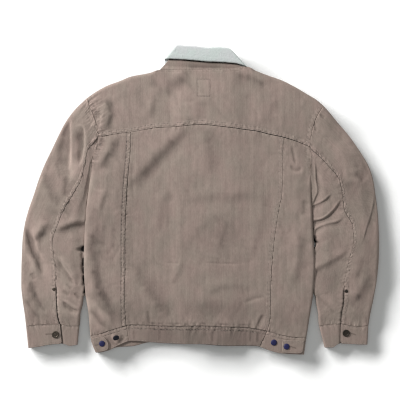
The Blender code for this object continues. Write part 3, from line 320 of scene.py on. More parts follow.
# Folds that lie over: where, half width of the steep face, how far the cloth
# takes to level out on both sides, half the drop, and the line, whose left is
# the high side
STEPS = [
    # centre panel
    ("body", 10, 34, 2.7, [(-186, 24), (-164, 40), (-140, 61), (-114, 90), (-86, 117), (-58, 145), (-38, 168), (-27, 180)]),
    ("body", 13, 32, 1.4, [(25, 53), (23, 84), (21, 120), (19, 149), (14, 173)]),
    ("body", 12, 28, 0.9, [(-34, 2), (12, 7), (72, 10), (132, 12), (182, 7)]),
    ("body", 13, 32, 2.0, [(-77, -293), (-98, -259), (-119, -230), (-137, -202), (-156, -173), (-172, -146)]),
    ("body", 20, 50, 1.2, [(24, -196), (40, -136), (54, -72), (60, -28)]),
    ("body", 17, 40, 1.2, [(-14, -256), (40, -250), (104, -256)]),
    ("body", 14, 30, 0.8, [(-48, -149), (-34, -108), (-10, -72), (36, -38), (91, -22)]),
    ("body", 5, 12, 0.4, [(46, -125), (50, -96), (58, -67), (62, -46)]),
    ("body", 5, 12, 0.5, [(-70, -204), (-58, -185), (-46, -163), (-38, -144)]),
    ("body", 9, 22, 0.9, [(14, -221), (53, -204), (96, -202), (130, -216)]),
    ("body", 10, 26, 0.9, [(120, -149), (134, -96), (149, -36), (158, 24)]),
    ("body", 9, 22, 0.8, [(-106, -86), (-96, -43), (-86, 0), (-77, 34)]),
    # side panels and yoke
    ("body", 8, 22, 1.9, [(-245, 68), (-231, 92), (-215, 119), (-200, 145), (-192, 160)]),
    ("body", 6, 18, 2.2, [(-232, 166), (-220, 182), (-214, 204), (-220, 223), (-229, 240)]),
    ("body", 12, 30, 1.9, [(-89, 254), (-67, 271), (-46, 288), (-24, 305)]),
    ("body", 8, 20, 1.3, [(79, 307), (108, 300), (139, 290), (173, 276)]),
    ("body", 10, 25, 2.6, [(-192, -288), (-207, -275), (-224, -255), (-243, -221), (-253, -187), (-256, -149), (-263, -112), (-256, -80), (-242, -50)]),
    ("body", 5, 14, 1.4, [(-223, -309), (-237, -302), (-245, -290), (-254, -277), (-266, -268)]),
    ("body", 9, 22, 1.4, [(216, -221), (228, -187), (236, -149), (239, -108), (237, -67)]),
    ("body", 8, 20, 0.9, [(-120, 187), (-115, 216), (-108, 245), (-96, 274)]),
    ("body", 10, 24, 0.8, [(-10, 187), (-7, 216), (-7, 240)]),
    ("body", 9, 22, 0.7, [(149, 178), (163, 211), (182, 245)]),
    ("body", 5, 12, 1.0, [(-240, -29), (-233, 0), (-221, 29)]),
    # left sleeve
    ("left", 9, 22, 2.2, [(-336, -26), (-353, 0), (-368, 30), (-378, 66)]),
    ("left", 4.8, 18, 2.3, [(-343, -76), (-326, -66), (-310, -60), (-293, -56), (-276, -54)]),
    ("left", 7, 16, 2.6, [(-400, -100), (-386, -84), (-374, -70), (-360, -52)]),
    ("left", 6, 13, 4.3, [(-375, -186), (-386, -164), (-397, -140), (-408, -116), (-416, -92), (-423, -62)]),
    ("left", 7, 16, 1.7, [(-384, -278), (-396, -252), (-406, -221), (-410, -187)]),
    ("left", 6, 14, 1.0, [(-331, -38), (-322, -14), (-312, 10)]),
    ("left", 8, 16, 1.8, [(-350, 62), (-343, 96), (-331, 144), (-322, 190)]),
    ("left", 9, 24, 1.5, [(-303, 152), (-302, 100), (-306, 40)]),
    # right sleeve
    ("right", 20, 60, 1.3, [(372, -29), (372, 36), (372, 101), (365, 168)]),
    ("right", 9, 24, 0.8, [(343, 38), (365, 42), (389, 38)]),
    ("right", 5, 18, 1.7, [(272, -170), (295, -157), (317, -146), (338, -133), (355, -118)]),
    ("right", 8, 20, 1.3, [(365, -250), (379, -228), (396, -204), (408, -173)]),
    ("right", 9, 20, 0.8, [(377, -120), (394, -91), (406, -58), (413, -19)]),
]


def ease(t):
    t = np.clip(t, 0.0, 1.0)
    return t * t * (3 - 2 * t)


# ---------------------------------------------------------------- noise


def lattice(i, j, seed):
    n = (i * 374761393 + j * 668265263 + seed * 69069069) & 0xFFFFFFFF
    n = ((n ^ (n >> 13)) * 1274126177) & 0xFFFFFFFF
    return ((n ^ (n >> 16)) & 0xFFFF) / 32767.5 - 1.0


def noise(x, y, seed):
    """Smooth noise between -1 and 1 with features about one unit apart."""
    x, y = np.broadcast_arrays(np.asarray(x, float), np.asarray(y, float))
    i, j = np.floor(x).astype(np.int64), np.floor(y).astype(np.int64)
    u, v = x - i, y - j
    u, v = u * u * u * (u * (u * 6 - 15) + 10), v * v * v * (v * (v * 6 - 15) + 10)
    low = lattice(i, j, seed) * (1 - u) + lattice(i + 1, j, seed) * u
    high = lattice(i, j + 1, seed) * (1 - u) + lattice(i + 1, j + 1, seed) * u
    return low * (1 - v) + high * v


# ---------------------------------------------------------------- lines


def arc(points):
    return np.concatenate([[0.0], np.cumsum(np.linalg.norm(np.diff(points, axis=0), axis=1))])


def resample(points, spacing):
    at = arc(points)
    t = np.linspace(0, at[-1], max(2, int(round(at[-1] / spacing)) + 1))
    return np.stack([np.interp(t, at, points[:, 0]), np.interp(t, at, points[:, 1])], axis=1)


def soften(points, spacing=3.0, rounds=3):
    p = np.asarray(points, float)
    for _ in range(rounds):
        q, r = 0.75 * p[:-1] + 0.25 * p[1:], 0.25 * p[:-1] + 0.75 * p[1:]
        p = np.concatenate([p[:1], np.stack([q, r], 1).reshape(-1, 2), p[-1:]])
    return resample(p, spacing)


def from_line(x, y, line):
    """Signed distance from a line, with its left positive, and how far along."""
    a, b = line[:-1], line[1:]
    step = b - a
    size = np.maximum(np.linalg.norm(step, axis=1), 1e-9)
    start = arc(line)[:-1]
    best = np.full(len(x), 1e9)
    signed, along = np.zeros(len(x)), np.zeros(len(x))
    for k in range(len(a)):
        px, py = x - a[k, 0], y - a[k, 1]
        t = np.clip((px * step[k, 0] + py * step[k, 1]) / size[k] ** 2, 0, 1)
        dx, dy = px - t * step[k, 0], py - t * step[k, 1]
        d = np.hypot(dx, dy)
        closer = d < best
        best = np.where(closer, d, best)
        side = np.where(step[k, 0] * py - step[k, 1] * px >= 0, 1.0, -1.0)
        signed = np.where(closer, d * side, signed)
        along = np.where(closer, start[k] + t * size[k], along)
    return signed, along


def join(*parts):
    return np.concatenate([parts[0]] + [p[1:] for p in parts[1:]])


def polyline(x, y):
    return np.stack([np.asarray(x, float), np.asarray(y, float)], axis=-1)


def straight(a, b, count=60):
    t = np.linspace(0, 1, count + 1)[:, None]
    return np.asarray(a, float) * (1 - t) + np.asarray(b, float) * t


def body_edge(name, start, end):
    levels = np.linspace(start, end, 240)
    return polyline(BODY(name, levels), levels)


def line(name, start, end):
    across = np.linspace(start, end, 300)
    return polyline(across, LINES(name, across))


# ---------------------------------------------------------------- heights


def neck_share(x, y):
    return ease((y - 124) / 80) * ease((152 - abs(x - 10)) / 46)


def body_wall(x, y):
    down = ease((y - LINES("band_seam", x)) / 66)
    wall = BAND_WALL + 0.6 + (BODY_WALL - BAND_WALL - 0.6) * down
    return wall + (NECK_WALL - BODY_WALL) * neck_share(x, y)


def lap_bump(x):
    return ease((x + 74) / 42) * ease((120 - x) / 62)


def front_height(x, y, side, wall):
    share = ease((x + 66) / 42) if side == "left" else ease((112 - x) / 60)
    rise = PLACKET_RISE if side == "left" else LAP_RISE
    thin = PLACKET_WALL if side == "left" else UNDER_PLACKET_WALL
    return LEAF_RISE * neck_share(x, y) + rise * share, wall + (thin - wall) * share


def front_top(x, y, wall):
    return LEAF_RISE * neck_share(x, y) + wall + (LAP_RISE + UNDER_PLACKET_WALL - wall) * lap_bump(x)


def slack(x, y):
    neck, bump = neck_share(x, y), lap_bump(x)
    return 3.6 * neck * (1 - neck) + 2.4 * bump * (1 - bump)


def rumple(x, y, seed, size=1.0):
    """The slight unevenness of cloth that lies loose: soft waves and ridges."""
    wx = x + 9 * noise(x / 60, y / 60, seed + 7)
    wy = y + 9 * noise(x / 60 + 9, y / 60, seed + 8)
    h = 0.60 * noise(wx / 52, wy / 74, seed) + 0.34 * noise(wx / 24 + 5, wy / 38, seed + 1)
    ridge = 1 - np.abs(noise(wx / 30 + 2, wy / 44, seed + 4)) * 2.4
    h = h + 0.30 * np.clip(ridge, 0, 1) ** 2 * noise(x / 50, y / 50 + 4, seed + 5)
    return size * (h + 0.15 * noise(wx / 10, wy / 17, seed + 2) + 0.055 * noise(x / 4.2, y / 8.5, seed + 3))


# Patches of painted shade, and of painted light, on the cloth: where, middle,
# half sizes, turn in degrees, how much (above zero darker, below zero lighter)
PAINTED_LIGHT_AND_SHADE = [
    ("right", 382, 40, 27, 92, 8, 0.10),
    ("right", 371, 8, 26, 40, 0, 0.10),
    ("right", 345, 128, 36, 64, -25, -0.34),
    ("right", 390, -180, 20, 95, -6, 0.20),
    ("right", 308, -140, 28, 74, 0, 0.38),
    ("right", 302, -195, 30, 44, 0, 0.30),
    ("right", 312, 40, 34, 76, -18, 0.28),
    ("left", -350, 134, 17, 62, -25, 0.36),
    ("left", -314, 20, 14, 26, -10, 0.30),
    ("left", -300, 92, 13, 52, 0, -0.72),
    ("left", -287, 140, 8, 24, -6, 0.50),
    ("left", -378, -150, 44, 120, 14, -0.44),
    ("left", -305, -215, 40, 60, 0, -0.46),
    ("left", -398, 18, 14, 60, -18, -0.20),
    ("left", -366, -200, 20, 70, 20, -0.42),
    ("left", -316, -130, 26, 56, 0, -0.46),
    ("left", -320, -262, 36, 26, 0, -0.34),
    ("left", -401, -126, 8, 62, 19, 0.60),
    ("left", -380, -78, 9, 27, -42, 0.40),
    ("left", -308, -62, 8, 36, -73, 0.15),
    ("left", -404, -222, 9, 42, 13, 0.45),
    ("body", 66, -84, 32, 46, 0, 0.24),
    ("body", 50, -248, 68, 32, 0, 0.26),
    ("body", 78, 8, 88, 13, 2, 0.16),
    ("body", 30, 108, 22, 60, -4, 0.18),
    ("body", -234, -84, 19, 62, 5, 0.30),
    ("body", -98, -232, 18, 56, 32, 0.32),
    ("body", 130, 236, 75, 50, -15, 0.10),
    ("body", -182, 196, 30, 46, 0, 0.20),
    ("body", -50, 244, 20, 56, 0, -0.14),
    ("body", -98, 100, 13, 98, -44, 0.28),
    ("body", 24, -92, 58, 44, 0, 0.20),
    ("body", -240, -100, 22, 48, 8, 0.18),
    ("body", -229, -246, 16, 46, 41, 0.72),
    ("body", -256, -302, 22, 26, 0, -0.45),
    ("body", -130, -30, 44, 110, 0, 0.12),
    ("body", 226, -60, 24, 100, 0, -0.14),
    ("body", -257, -132, 8, 72, 0, 0.12),
    ("body", -230, -108, 12, 34, 0, 0.28),
    ("body", -215, 122, 10, 40, -30, 0.34),
    ("body", -220, 200, 11, 32, 0, 0.36),
    ("body", -203, 118, 12, 34, -15, 0.32),
    ("body", -240, -269, 38, 14, -43, -1.2),
    ("body", -246, -180, 10, 30, 16, 0.30),
    ("body", -158, 74, 17, 34, -44, 0.40),
    ("body", 232, -140, 8, 78, -9, 0.12),
    ("body", -58, 287, 14, 42, -51, 0.58),
    ("body", 126, 292, 10, 55, 72, 0.17),
    ("body", -134, 236, 9, 36, 15, 0.26),
    ("body", -120, -110, 34, 70, 8, -0.04),
    ("body", -262, 30, 9, 62, -5, -0.34),
    ("body", -268, -205, 7, 90, 3, -0.30),
    ("body", 240, -250, 28, 60, 0, -0.10),
    ("body", 238, -40, 34, 160, 0, -0.14),
    ("body", -206, 20, 30, 130, 0, 0.22),
    ("body", -178, -40, 13, 210, 0, 0.34),
    ("body", -85, 288, 46, 22, 12, 0.42),
    ("body", -165, 268, 46, 22, 24, 0.22),
]


# Painted shade and painted light from the patches above.
def paint_light_and_shade(x, y, where):
    total = np.zeros(x.shape)
    wx, wy = x + 7 * noise(x / 21, y / 21, 401), y + 9 * noise(x / 24 + 3, y / 24, 402)
    for region, px, py, rx, ry, turn, amount in PAINTED_LIGHT_AND_SHADE:
        if region == where:
            c, s = math.cos(math.radians(turn)), math.sin(math.radians(turn))
            u, v = ((wx - px) * c + (wy - py) * s) / rx, (-(wx - px) * s + (wy - py) * c) / ry
            total += amount * np.exp(-((u * u + v * v) ** 1.6))
    return total


def ticks(d, s, rows, seed, light=0.45, dark=0.9, wide=1.4):
    """Painted light and painted shade in marks where rows of stitches pull at the cloth."""
    total = np.zeros(d.shape)
    for k, r in enumerate(rows):
        n = noise(s / 2.5, r, seed + k)
        near = np.exp(-(((d - r) / wide) ** 2))
        total += near * (dark * np.clip(-0.05 - 1.7 * n, 0, 1.2) - light * np.clip(0.35 + 1.5 * n, 0, 1.2))
    return total


def taper(region, path, t):
    """A crease fades at its ends, but for an end under the body's edge."""
    out = np.ones(t.shape)
    for end, u in ((path[0], t), (path[-1], 1 - t)):
        tucked = False
        if region in ("left", "right") and end[1] < UNDERARM:
            tucked = abs(end[0] - float(BODY(f"{region}_edge", end[1]))) < 13
        out = out * (1.0 if tucked else ease(u / 0.27))
    return out


def creases(x, y, where):
    total = np.zeros(x.shape)
    for k, (region, *shape_of, points) in enumerate(FOLDS + STEPS):
        if region != where:
            continue
        path = soften(points)
        reach = 3.6 * max(shape_of[:2]) + 4
        low, high = path.min(axis=0) - reach, path.max(axis=0) + reach
        near = (x > low[0]) & (x < high[0]) & (y > low[1]) & (y < high[1])
        if not near.any():
            continue
        d, s = from_line(x[near], y[near], path)
        ends = taper(region, path, s / arc(path)[-1])
        vary = 1 + 0.3 * noise(s / 24, 0.5, 300 + k)
        d = d + 0.18 * min(shape_of[:2]) * noise(s / 11, 0.2, 340 + k)
        if k < len(FOLDS):
            steep, gentle, depth = shape_of
            width = np.where(d > 0, gentle * 1.5, steep * 1.25) * (0.62 + 0.38 * ends)
            trough = np.exp(-np.abs(d / width) ** 1.6)
            lip = 0.26 * np.exp(-(((d + 2.5 * steep) / (1.8 * steep)) ** 2))
            total[near] += 1.35 * depth * vary * ends * (lip - trough)
        else:
            face, reach, drop = shape_of
            face = 1.4 * face * (0.6 + 0.4 * ends)
            total[near] += 2.1 * drop * vary * ends * np.tanh(d / face) * np.exp(-np.abs(d / reach) ** 1.5)
    return total


def seam_shape(d, s, kind, pucker=0.0, reach=8.0, seed=0, rows=(), period=7.0, band=1.0, drop=None):
    """The cloth beside a seam: its edge, a felled band, stitch rows, puckers."""
    drop = {"fell": 0.7, "under": 1.0, "plain": 1.0, "cut": 0.8}[kind] if drop is None else drop
    h = -drop * (1 - np.sqrt(1 - (1 - np.clip(d / 1.3, 0, 1)) ** 2))
    if kind == "fell":
        h = h + band * (0.60 + 0.45 * noise(s / 2.7, d / 7, seed + 11)) * (1 - ease((d - 9.0) / 1.9))
    if kind == "under":
        h = h - 0.25 * np.exp(-((d / 3.0) ** 2))
    for r in rows:
        h = h - 0.62 * band * np.exp(-(((d - r) / 0.9) ** 2)) * np.clip(0.7 + 1.2 * noise(s / 3.1, r, seed + 9), 0, 1.6)
    if pucker:
        along = s + 0.35 * d * noise(s / 27, 0.3, seed + 5)
        wave = 0.60 * noise(along / period, d / (2.4 * reach), seed) + 0.42 * noise(along / (0.45 * period), d / (1.2 * reach), seed + 1)
        wave = wave + 0.22 * noise(along / 2.6, d / 5, seed + 3)
        strength = 0.8 + 0.6 * noise(s / 38, 0.7, seed + 2)
        h = h + 3.1 * pucker * strength * wave * np.exp(-((d / reach) ** 1.4)) * ease(0.4 + d / 2.5)
    return h


# ---------------------------------------------------------------- patches

SEAM = np.array([0, 0.35, 0.8, 1.4, 2.2, 3.2, 4.6])
FELL = np.array([0, 0.35, 0.8, 1.3, 1.8, 2.3, 2.9, 3.8, 5.2, 6.6, 7.6, 8.3, 8.9, 9.6, 10.6, 12.0])
HEM = np.array([0, 0.25, 0.7, 1.3, 2.0, 2.7, 3.4, 4.4])
PLAIN = np.array([0, 0.5, 1.2, 2.4])


def round_lines(radius, steps=7, more=()):
    a = np.linspace(0, math.pi / 2, steps + 1)
    return np.array(list(radius * (1 - np.cos(a))) + [radius + m for m in more])


def spread(length, near, far, inner):
    """Offsets from 0 to each length: close together at both of its ends."""
    length = np.asarray(length, float)
    k0 = np.minimum(1, 0.42 * length / near[-1])[:, None]
    k1 = np.minimum(1, 0.42 * length / far[-1])[:, None]
    a, b = near[None] * k0, length[:, None] - far[None, ::-1] * k1
    t = np.linspace(0, 1, inner + 1)[None, 1:-1]
    return np.concatenate([a, a[:, -1:] * (1 - t) + b[:, :1] * t, b], axis=1)


class Patch:
    """A plan region between four lines."""

    def __init__(self, top, bottom, left, right):
        self.side = {}
        for name, points in (("top", top), ("bottom", bottom), ("left", left), ("right", right)):
            at = arc(points)
            self.side[name] = (points, at / at[-1], at[-1])

    def curve(self, name, t):
        points, at, _ = self.side[name]
        return np.stack([np.interp(t, at, points[:, 0]), np.interp(t, at, points[:, 1])], axis=-1)

    def width(self, v):
        return np.linalg.norm(self.curve("right", v) - self.curve("left", v), axis=-1)

    def height(self, u):
        return np.linalg.norm(self.curve("bottom", u) - self.curve("top", u), axis=-1)

    def at(self, u, v):
        u, v = np.broadcast_arrays(np.asarray(u, float), np.asarray(v, float))
        p, q, r, s = (self.curve(n, t) for n, t in (("top", u), ("bottom", u), ("left", v), ("right", v)))
        c = [self.side[n][0][k] for n, k in (("top", 0), ("top", -1), ("bottom", 0), ("bottom", -1))]
        u, v = u[..., None], v[..., None]
        corners = (1 - v) * ((1 - u) * c[0] + u * c[1]) + v * ((1 - u) * c[2] + u * c[3])
        return (1 - v) * p + v * q + (1 - u) * r + u * s - corners

    def parallel(self, side, distance, start=0.0, end=1.0):
        """The line at a distance inside one side."""
        t = np.linspace(start, end, 400)
        if side in ("left", "right"):
            u = distance / self.width(t)
            return self.at(u if side == "left" else 1 - u, t)
        v = distance / self.height(t)
        return self.at(t, v if side == "top" else 1 - v)


class Grid:
    """Points over a patch, with their distances from and along its sides."""

    def __init__(self, patch, step, left=PLAIN, right=PLAIN, top=PLAIN, bottom=PLAIN, rows=None, cols=None):
        self.patch = patch
        test = np.linspace(0, 1, 41)
        wide, tall = patch.width(test).mean(), patch.height(test).mean()
        inner = cols or max(2, int(round((wide - left[-1] - right[-1]) / step)))
        down = rows or max(2, int(round((tall - top[-1] - bottom[-1]) / step)))
        self.inner_rows = down
        u0 = spread([wide], left, right, inner)[0] / wide
        heights = patch.height(u0)
        v = (spread(heights, top, bottom, down) / heights[:, None]).T
        widths = patch.width(v.mean(axis=1))
        u = spread(widths, left, right, inner) / widths[:, None]
        self.u, self.v = u, v
        self.plan = patch.at(u, v)
        w, h = patch.width(v), patch.height(u)
        self.d = dict(left=u * w, right=(1 - u) * w, top=v * h, bottom=(1 - v) * h)
        size = {n: patch.side[n][2] for n in patch.side}
        self.s = dict(left=v * size["left"], right=v * size["right"], top=u * size["top"], bottom=u * size["bottom"])

    @property
    def x(self):
        return self.plan[..., 0]

    @property
    def y(self):
        return self.plan[..., 1]

    def pull_in(self, sides):
        """Half a seam gap off the given sides."""
        plan = self.plan
        for side in sides:
            view = plan if side in ("left", "right") else np.swapaxes(plan, 0, 1)
            view = view if side in ("left", "top") else view[:, ::-1]
            way = view[:, 1] - view[:, 0]
            size = np.maximum(np.linalg.norm(way, axis=1), 1e-6)
            view[:, 0] += way * (np.minimum(SEAM_GAP / 2, 0.7 * size) / size)[:, None]

    def inward(self, side):
        """Unit directions away from a side."""
        view = self.plan if side in ("left", "right") else np.swapaxes(self.plan, 0, 1)
        view = view if side in ("left", "top") else view[:, ::-1]
        way = view[:, min(6, view.shape[1] - 1)] - view[:, 0]
        way = way / np.maximum(np.linalg.norm(way, axis=1), 1e-6)[:, None]
        way = way[:, None] * np.ones(view.shape[:2])[..., None]
        return way if side in ("left", "right") else np.swapaxes(way, 0, 1)


def roundness(d, radius):
    return np.sqrt(1 - (1 - np.clip(d / radius, 0, 1)) ** 2)


# ---------------------------------------------------------------- meshes

made = []
TREES = {}


def finish_mesh(name, verts, faces, mats, which=None, attributes=None, smooth=60):
    """Faces are lists of equal-sided index arrays, one array for each size."""
    mesh = bpy.data.meshes.new(name)
    verts = (np.asarray(verts, float) - SHIFT) * MM
    mesh.vertices.add(len(verts))
    mesh.vertices.foreach_set("co", verts.astype(np.float32).ravel())
    counts = np.concatenate([np.full(len(f), f.shape[1]) for f in faces])
    loops = np.concatenate([f.ravel() for f in faces]).astype(np.int32)
    mesh.loops.add(len(loops))
    mesh.loops.foreach_set("vertex_index", loops)
    mesh.polygons.add(len(counts))
    mesh.polygons.foreach_set("loop_start", np.concatenate([[0], np.cumsum(counts)[:-1]]).astype(np.int32))
    for m in mats:
        mesh.materials.append(m)
    if which is not None:
        mesh.polygons.foreach_set("material_index", np.asarray(which, np.int32))
    mesh.update(calc_edges=True)
    mesh.validate()
    for key, values in (attributes or {}).items():
        values = np.asarray(values, np.float32)
        kind, field = ("FLOAT_VECTOR", "vector") if values.ndim == 2 else ("FLOAT", "value")
        mesh.attributes.new(key, kind, "POINT").data.foreach_set(field, values.ravel())
    mesh.shade_smooth()
    mesh.set_sharp_from_angle(angle=math.radians(smooth))
    thing = bpy.data.objects.new(name, mesh)
    bpy.context.scene.collection.objects.link(thing)
    made.append(thing)
    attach(thing, "root")
    return thing


def volume(verts, faces):
    total = 0.0
    for f in faces:
        a = verts[f[:, 0]]
        for k in range(1, f.shape[1] - 1):
            total += np.einsum("ij,ij->i", a, np.cross(verts[f[:, k]], verts[f[:, k + 1]])).sum()
    return total / 6


def blur(h, size):
    for axis in (0, 1):
        for _ in range(2):
            pad = [(0, 0), (0, 0)]
            pad[axis] = (size + 1, size)
            c = np.cumsum(np.pad(h, pad, mode="edge"), axis=axis)
            n = 2 * size + 1
            h = (np.take(c, range(n, c.shape[axis]), axis=axis) - np.take(c, range(0, c.shape[axis] - n), axis=axis)) / n
    return h


def shell(name, outside, inside, mats, cloth, relief, painted_shading=0.0, wear_and_painted_light=0.0, skip=3):
    """A closed wall: the inside has only some of the outside's lines."""
    rows, cols = outside.shape[:2]
    keep_r = sorted(set(range(0, rows, skip)) | {rows - 1, 1, rows - 2})
    keep_c = sorted(set(range(0, cols, skip)) | {cols - 1, 1, cols - 2})
    inner = inside[np.ix_(keep_r, keep_c)]
    n = rows * cols
    verts = np.concatenate([outside.reshape(-1, 3), inner.reshape(-1, 3)])
    a = np.arange(n).reshape(rows, cols)
    b = n + np.arange(len(keep_r) * len(keep_c)).reshape(len(keep_r), len(keep_c))
    top = np.stack([a[:-1, :-1], a[1:, :-1], a[1:, 1:], a[:-1, 1:]], -1).reshape(-1, 4)
    low = np.stack([b[:-1, :-1], b[:-1, 1:], b[1:, 1:], b[1:, :-1]], -1).reshape(-1, 4)
    rim = []

    def border(outer, inner_ids, keep):
        for k in range(len(keep) - 1):
            for i in range(keep[k], keep[k + 1]):
                rim.append((outer[i + 1], outer[i], inner_ids[k]))
            rim.append((outer[keep[k + 1]], inner_ids[k], inner_ids[k + 1]))

    border(a[:, 0], b[:, 0], keep_r)
    border(a[-1], b[-1], keep_c)
    turned_r = [rows - 1 - k for k in keep_r[::-1]]
    turned_c = [cols - 1 - k for k in keep_c[::-1]]
    border(a[::-1, -1], b[::-1, -1], turned_r)
    border(a[0, ::-1], b[0, ::-1], turned_c)
    rim = np.array(rim)
    faces = [top, low, rim]
    if volume(verts, faces) < 0:
        faces = [f[:, ::-1] for f in faces]
    which = np.concatenate([np.zeros(len(top)), np.ones(len(low)), np.zeros(len(rim))])
    # Troughs of the relief darken the colour: painted shade in creases and seam ditches. Crests and small bumps lighten
    # it: partly wear, partly painted light.
    broad = relief - blur(relief, 7)
    fine = relief - blur(relief, 2)
    high = np.clip(broad / 1.2, 0, 1) * 0.35 + np.clip(fine / 0.30, 0, 1) * 0.45 + wear_and_painted_light
    deep = np.clip(-broad / 1.6, 0, 1) * 0.25 + np.clip(-fine / 0.35, 0, 1) * 0.45 + painted_shading

    def both(field):
        field = field * np.ones((rows, cols)) if np.ndim(field) == 0 else field
        return np.concatenate([field.reshape(n, *field.shape[2:]), field[np.ix_(keep_r, keep_c)].reshape(-1, *field.shape[2:])])

    cloth = np.concatenate([cloth, np.zeros(cloth.shape[:2] + (1,))], axis=2)
    thing = finish_mesh(
        name, verts, faces, mats, which, {"cloth": both(cloth), "wear_and_painted_light": both(np.clip(high, 0, 1)), "painted_shading": both(np.clip(deep, -1.2, 3.4))}
    )
    TREES[name] = BVHTree.FromPolygons([tuple(p) for p in outside.reshape(-1, 3)], [tuple(f) for f in top.tolist()])
    return thing


def drop_on(names, x, y, default=None):
    """The highest point of the named cloth under a place."""
    best = default
    for name in names:
        hit = TREES[name].ray_cast(Vector((x, y, 80)), Vector((0, 0, -1)))[0]
        if hit is not None and (best is None or hit.z > best):
            best = hit.z
    return best


def layer(grid, inner, wall, sign=1):
    """Outside and inside heights of a wall with no rolls yet."""
    return inner + sign * wall, inner


def stack3(plan, z):
    return np.concatenate([plan, z[..., None]], axis=2)


def settle(out, low, least=1.6):
    """A crease goes down no further than leaves a little cloth over the inside."""
    return np.maximum(out, low + least)


def sink(low, bed, relief, spare):
    """Past what the wall can spare, the inside follows a crease down to its bed."""
    return np.maximum(np.minimum(low, bed), low + np.minimum(relief + spare, 0))


# ---------------------------------------------------------------- stitches

THREADS = []


def stitch_row(path, names, pitch=3.5, length=2.3, width=0.92, start=2.0, end=2.0, lift=0.10, skip=0.0, seed=1):
    """Stitches along a plan line, laid on the named cloth."""
    at = arc(path)
    count = int((at[-1] - start - end) / pitch)
    if count < 1:
        return
    for k in range(count + 1):
        s = start + k * pitch
        if skip and (lattice(k, 3, seed) * 0.5 + 0.5) < skip:
            continue
        lo, hi = s - length / 2, s + length / 2
        p = [np.array([np.interp(q, at, path[:, 0]), np.interp(q, at, path[:, 1])]) for q in (lo, hi)]
        z = [drop_on(names, *q) for q in p]
        if z[0] is None or z[1] is None:
            continue
        THREADS.append((*p[0], z[0] + lift, *p[1], z[1] + lift, width))


def single_stitch(p, q, names, width=0.7, lift=0.12):
    z = [drop_on(names, *t) for t in (p, q)]
    if z[0] is not None and z[1] is not None:
        THREADS.append((p[0], p[1], z[0] + lift, q[0], q[1], z[1] + lift, width))


def thread_mesh(name, rows, mats):
    """One joined mesh of low-poly stitches."""
    rows = np.array(rows)
    a, b, w = rows[:, :3], rows[:, 3:6], rows[:, 6:7] / 2
    way = b - a
    size = np.maximum(np.linalg.norm(way, axis=1, keepdims=True), 1e-6)
    way = way / size
    across = np.cross(way, np.array([[0.0, 0.0, 1.0]]))
    across = across / np.maximum(np.linalg.norm(across, axis=1, keepdims=True), 1e-6)
    up = np.cross(across, way)
    up = np.where(up[:, 2:3] < 0, -up, up)
    verts = [a - 0.12 * up]
    for t, swell in ((0.22, 0.92), (0.78, 0.92)):
        mid = a + way * size * t
        for c, s in ((1, 0), (0, 1), (-1, 0), (0, -1)):
            verts.append(mid + across * (c * swell) * w + up * (s * swell * 0.62) * w)
    verts.append(b - 0.12 * up)
    v = np.stack(verts, axis=1)
    n = len(rows)
    base = (np.arange(n) * 10)[:, None]
    quads, tris = [], []
    for k in range(4):
        m = (k + 1) % 4
        tris.append((0, 1 + m, 1 + k))
        quads.append((1 + k, 1 + m, 5 + m, 5 + k))
        tris.append((9, 5 + k, 5 + m))
    q = (base[:, :, None] + np.array(quads)[None]).reshape(-1, 4)
    t = (base[:, :, None] + np.array(tris)[None]).reshape(-1, 3)
    verts = v.reshape(-1, 3)
    faces = [q, t]
    if volume(verts, faces) < 0:
        faces = [f[:, ::-1] for f in faces]
    return finish_mesh(name, verts, faces, mats)


# ---------------------------------------------------------------- materials


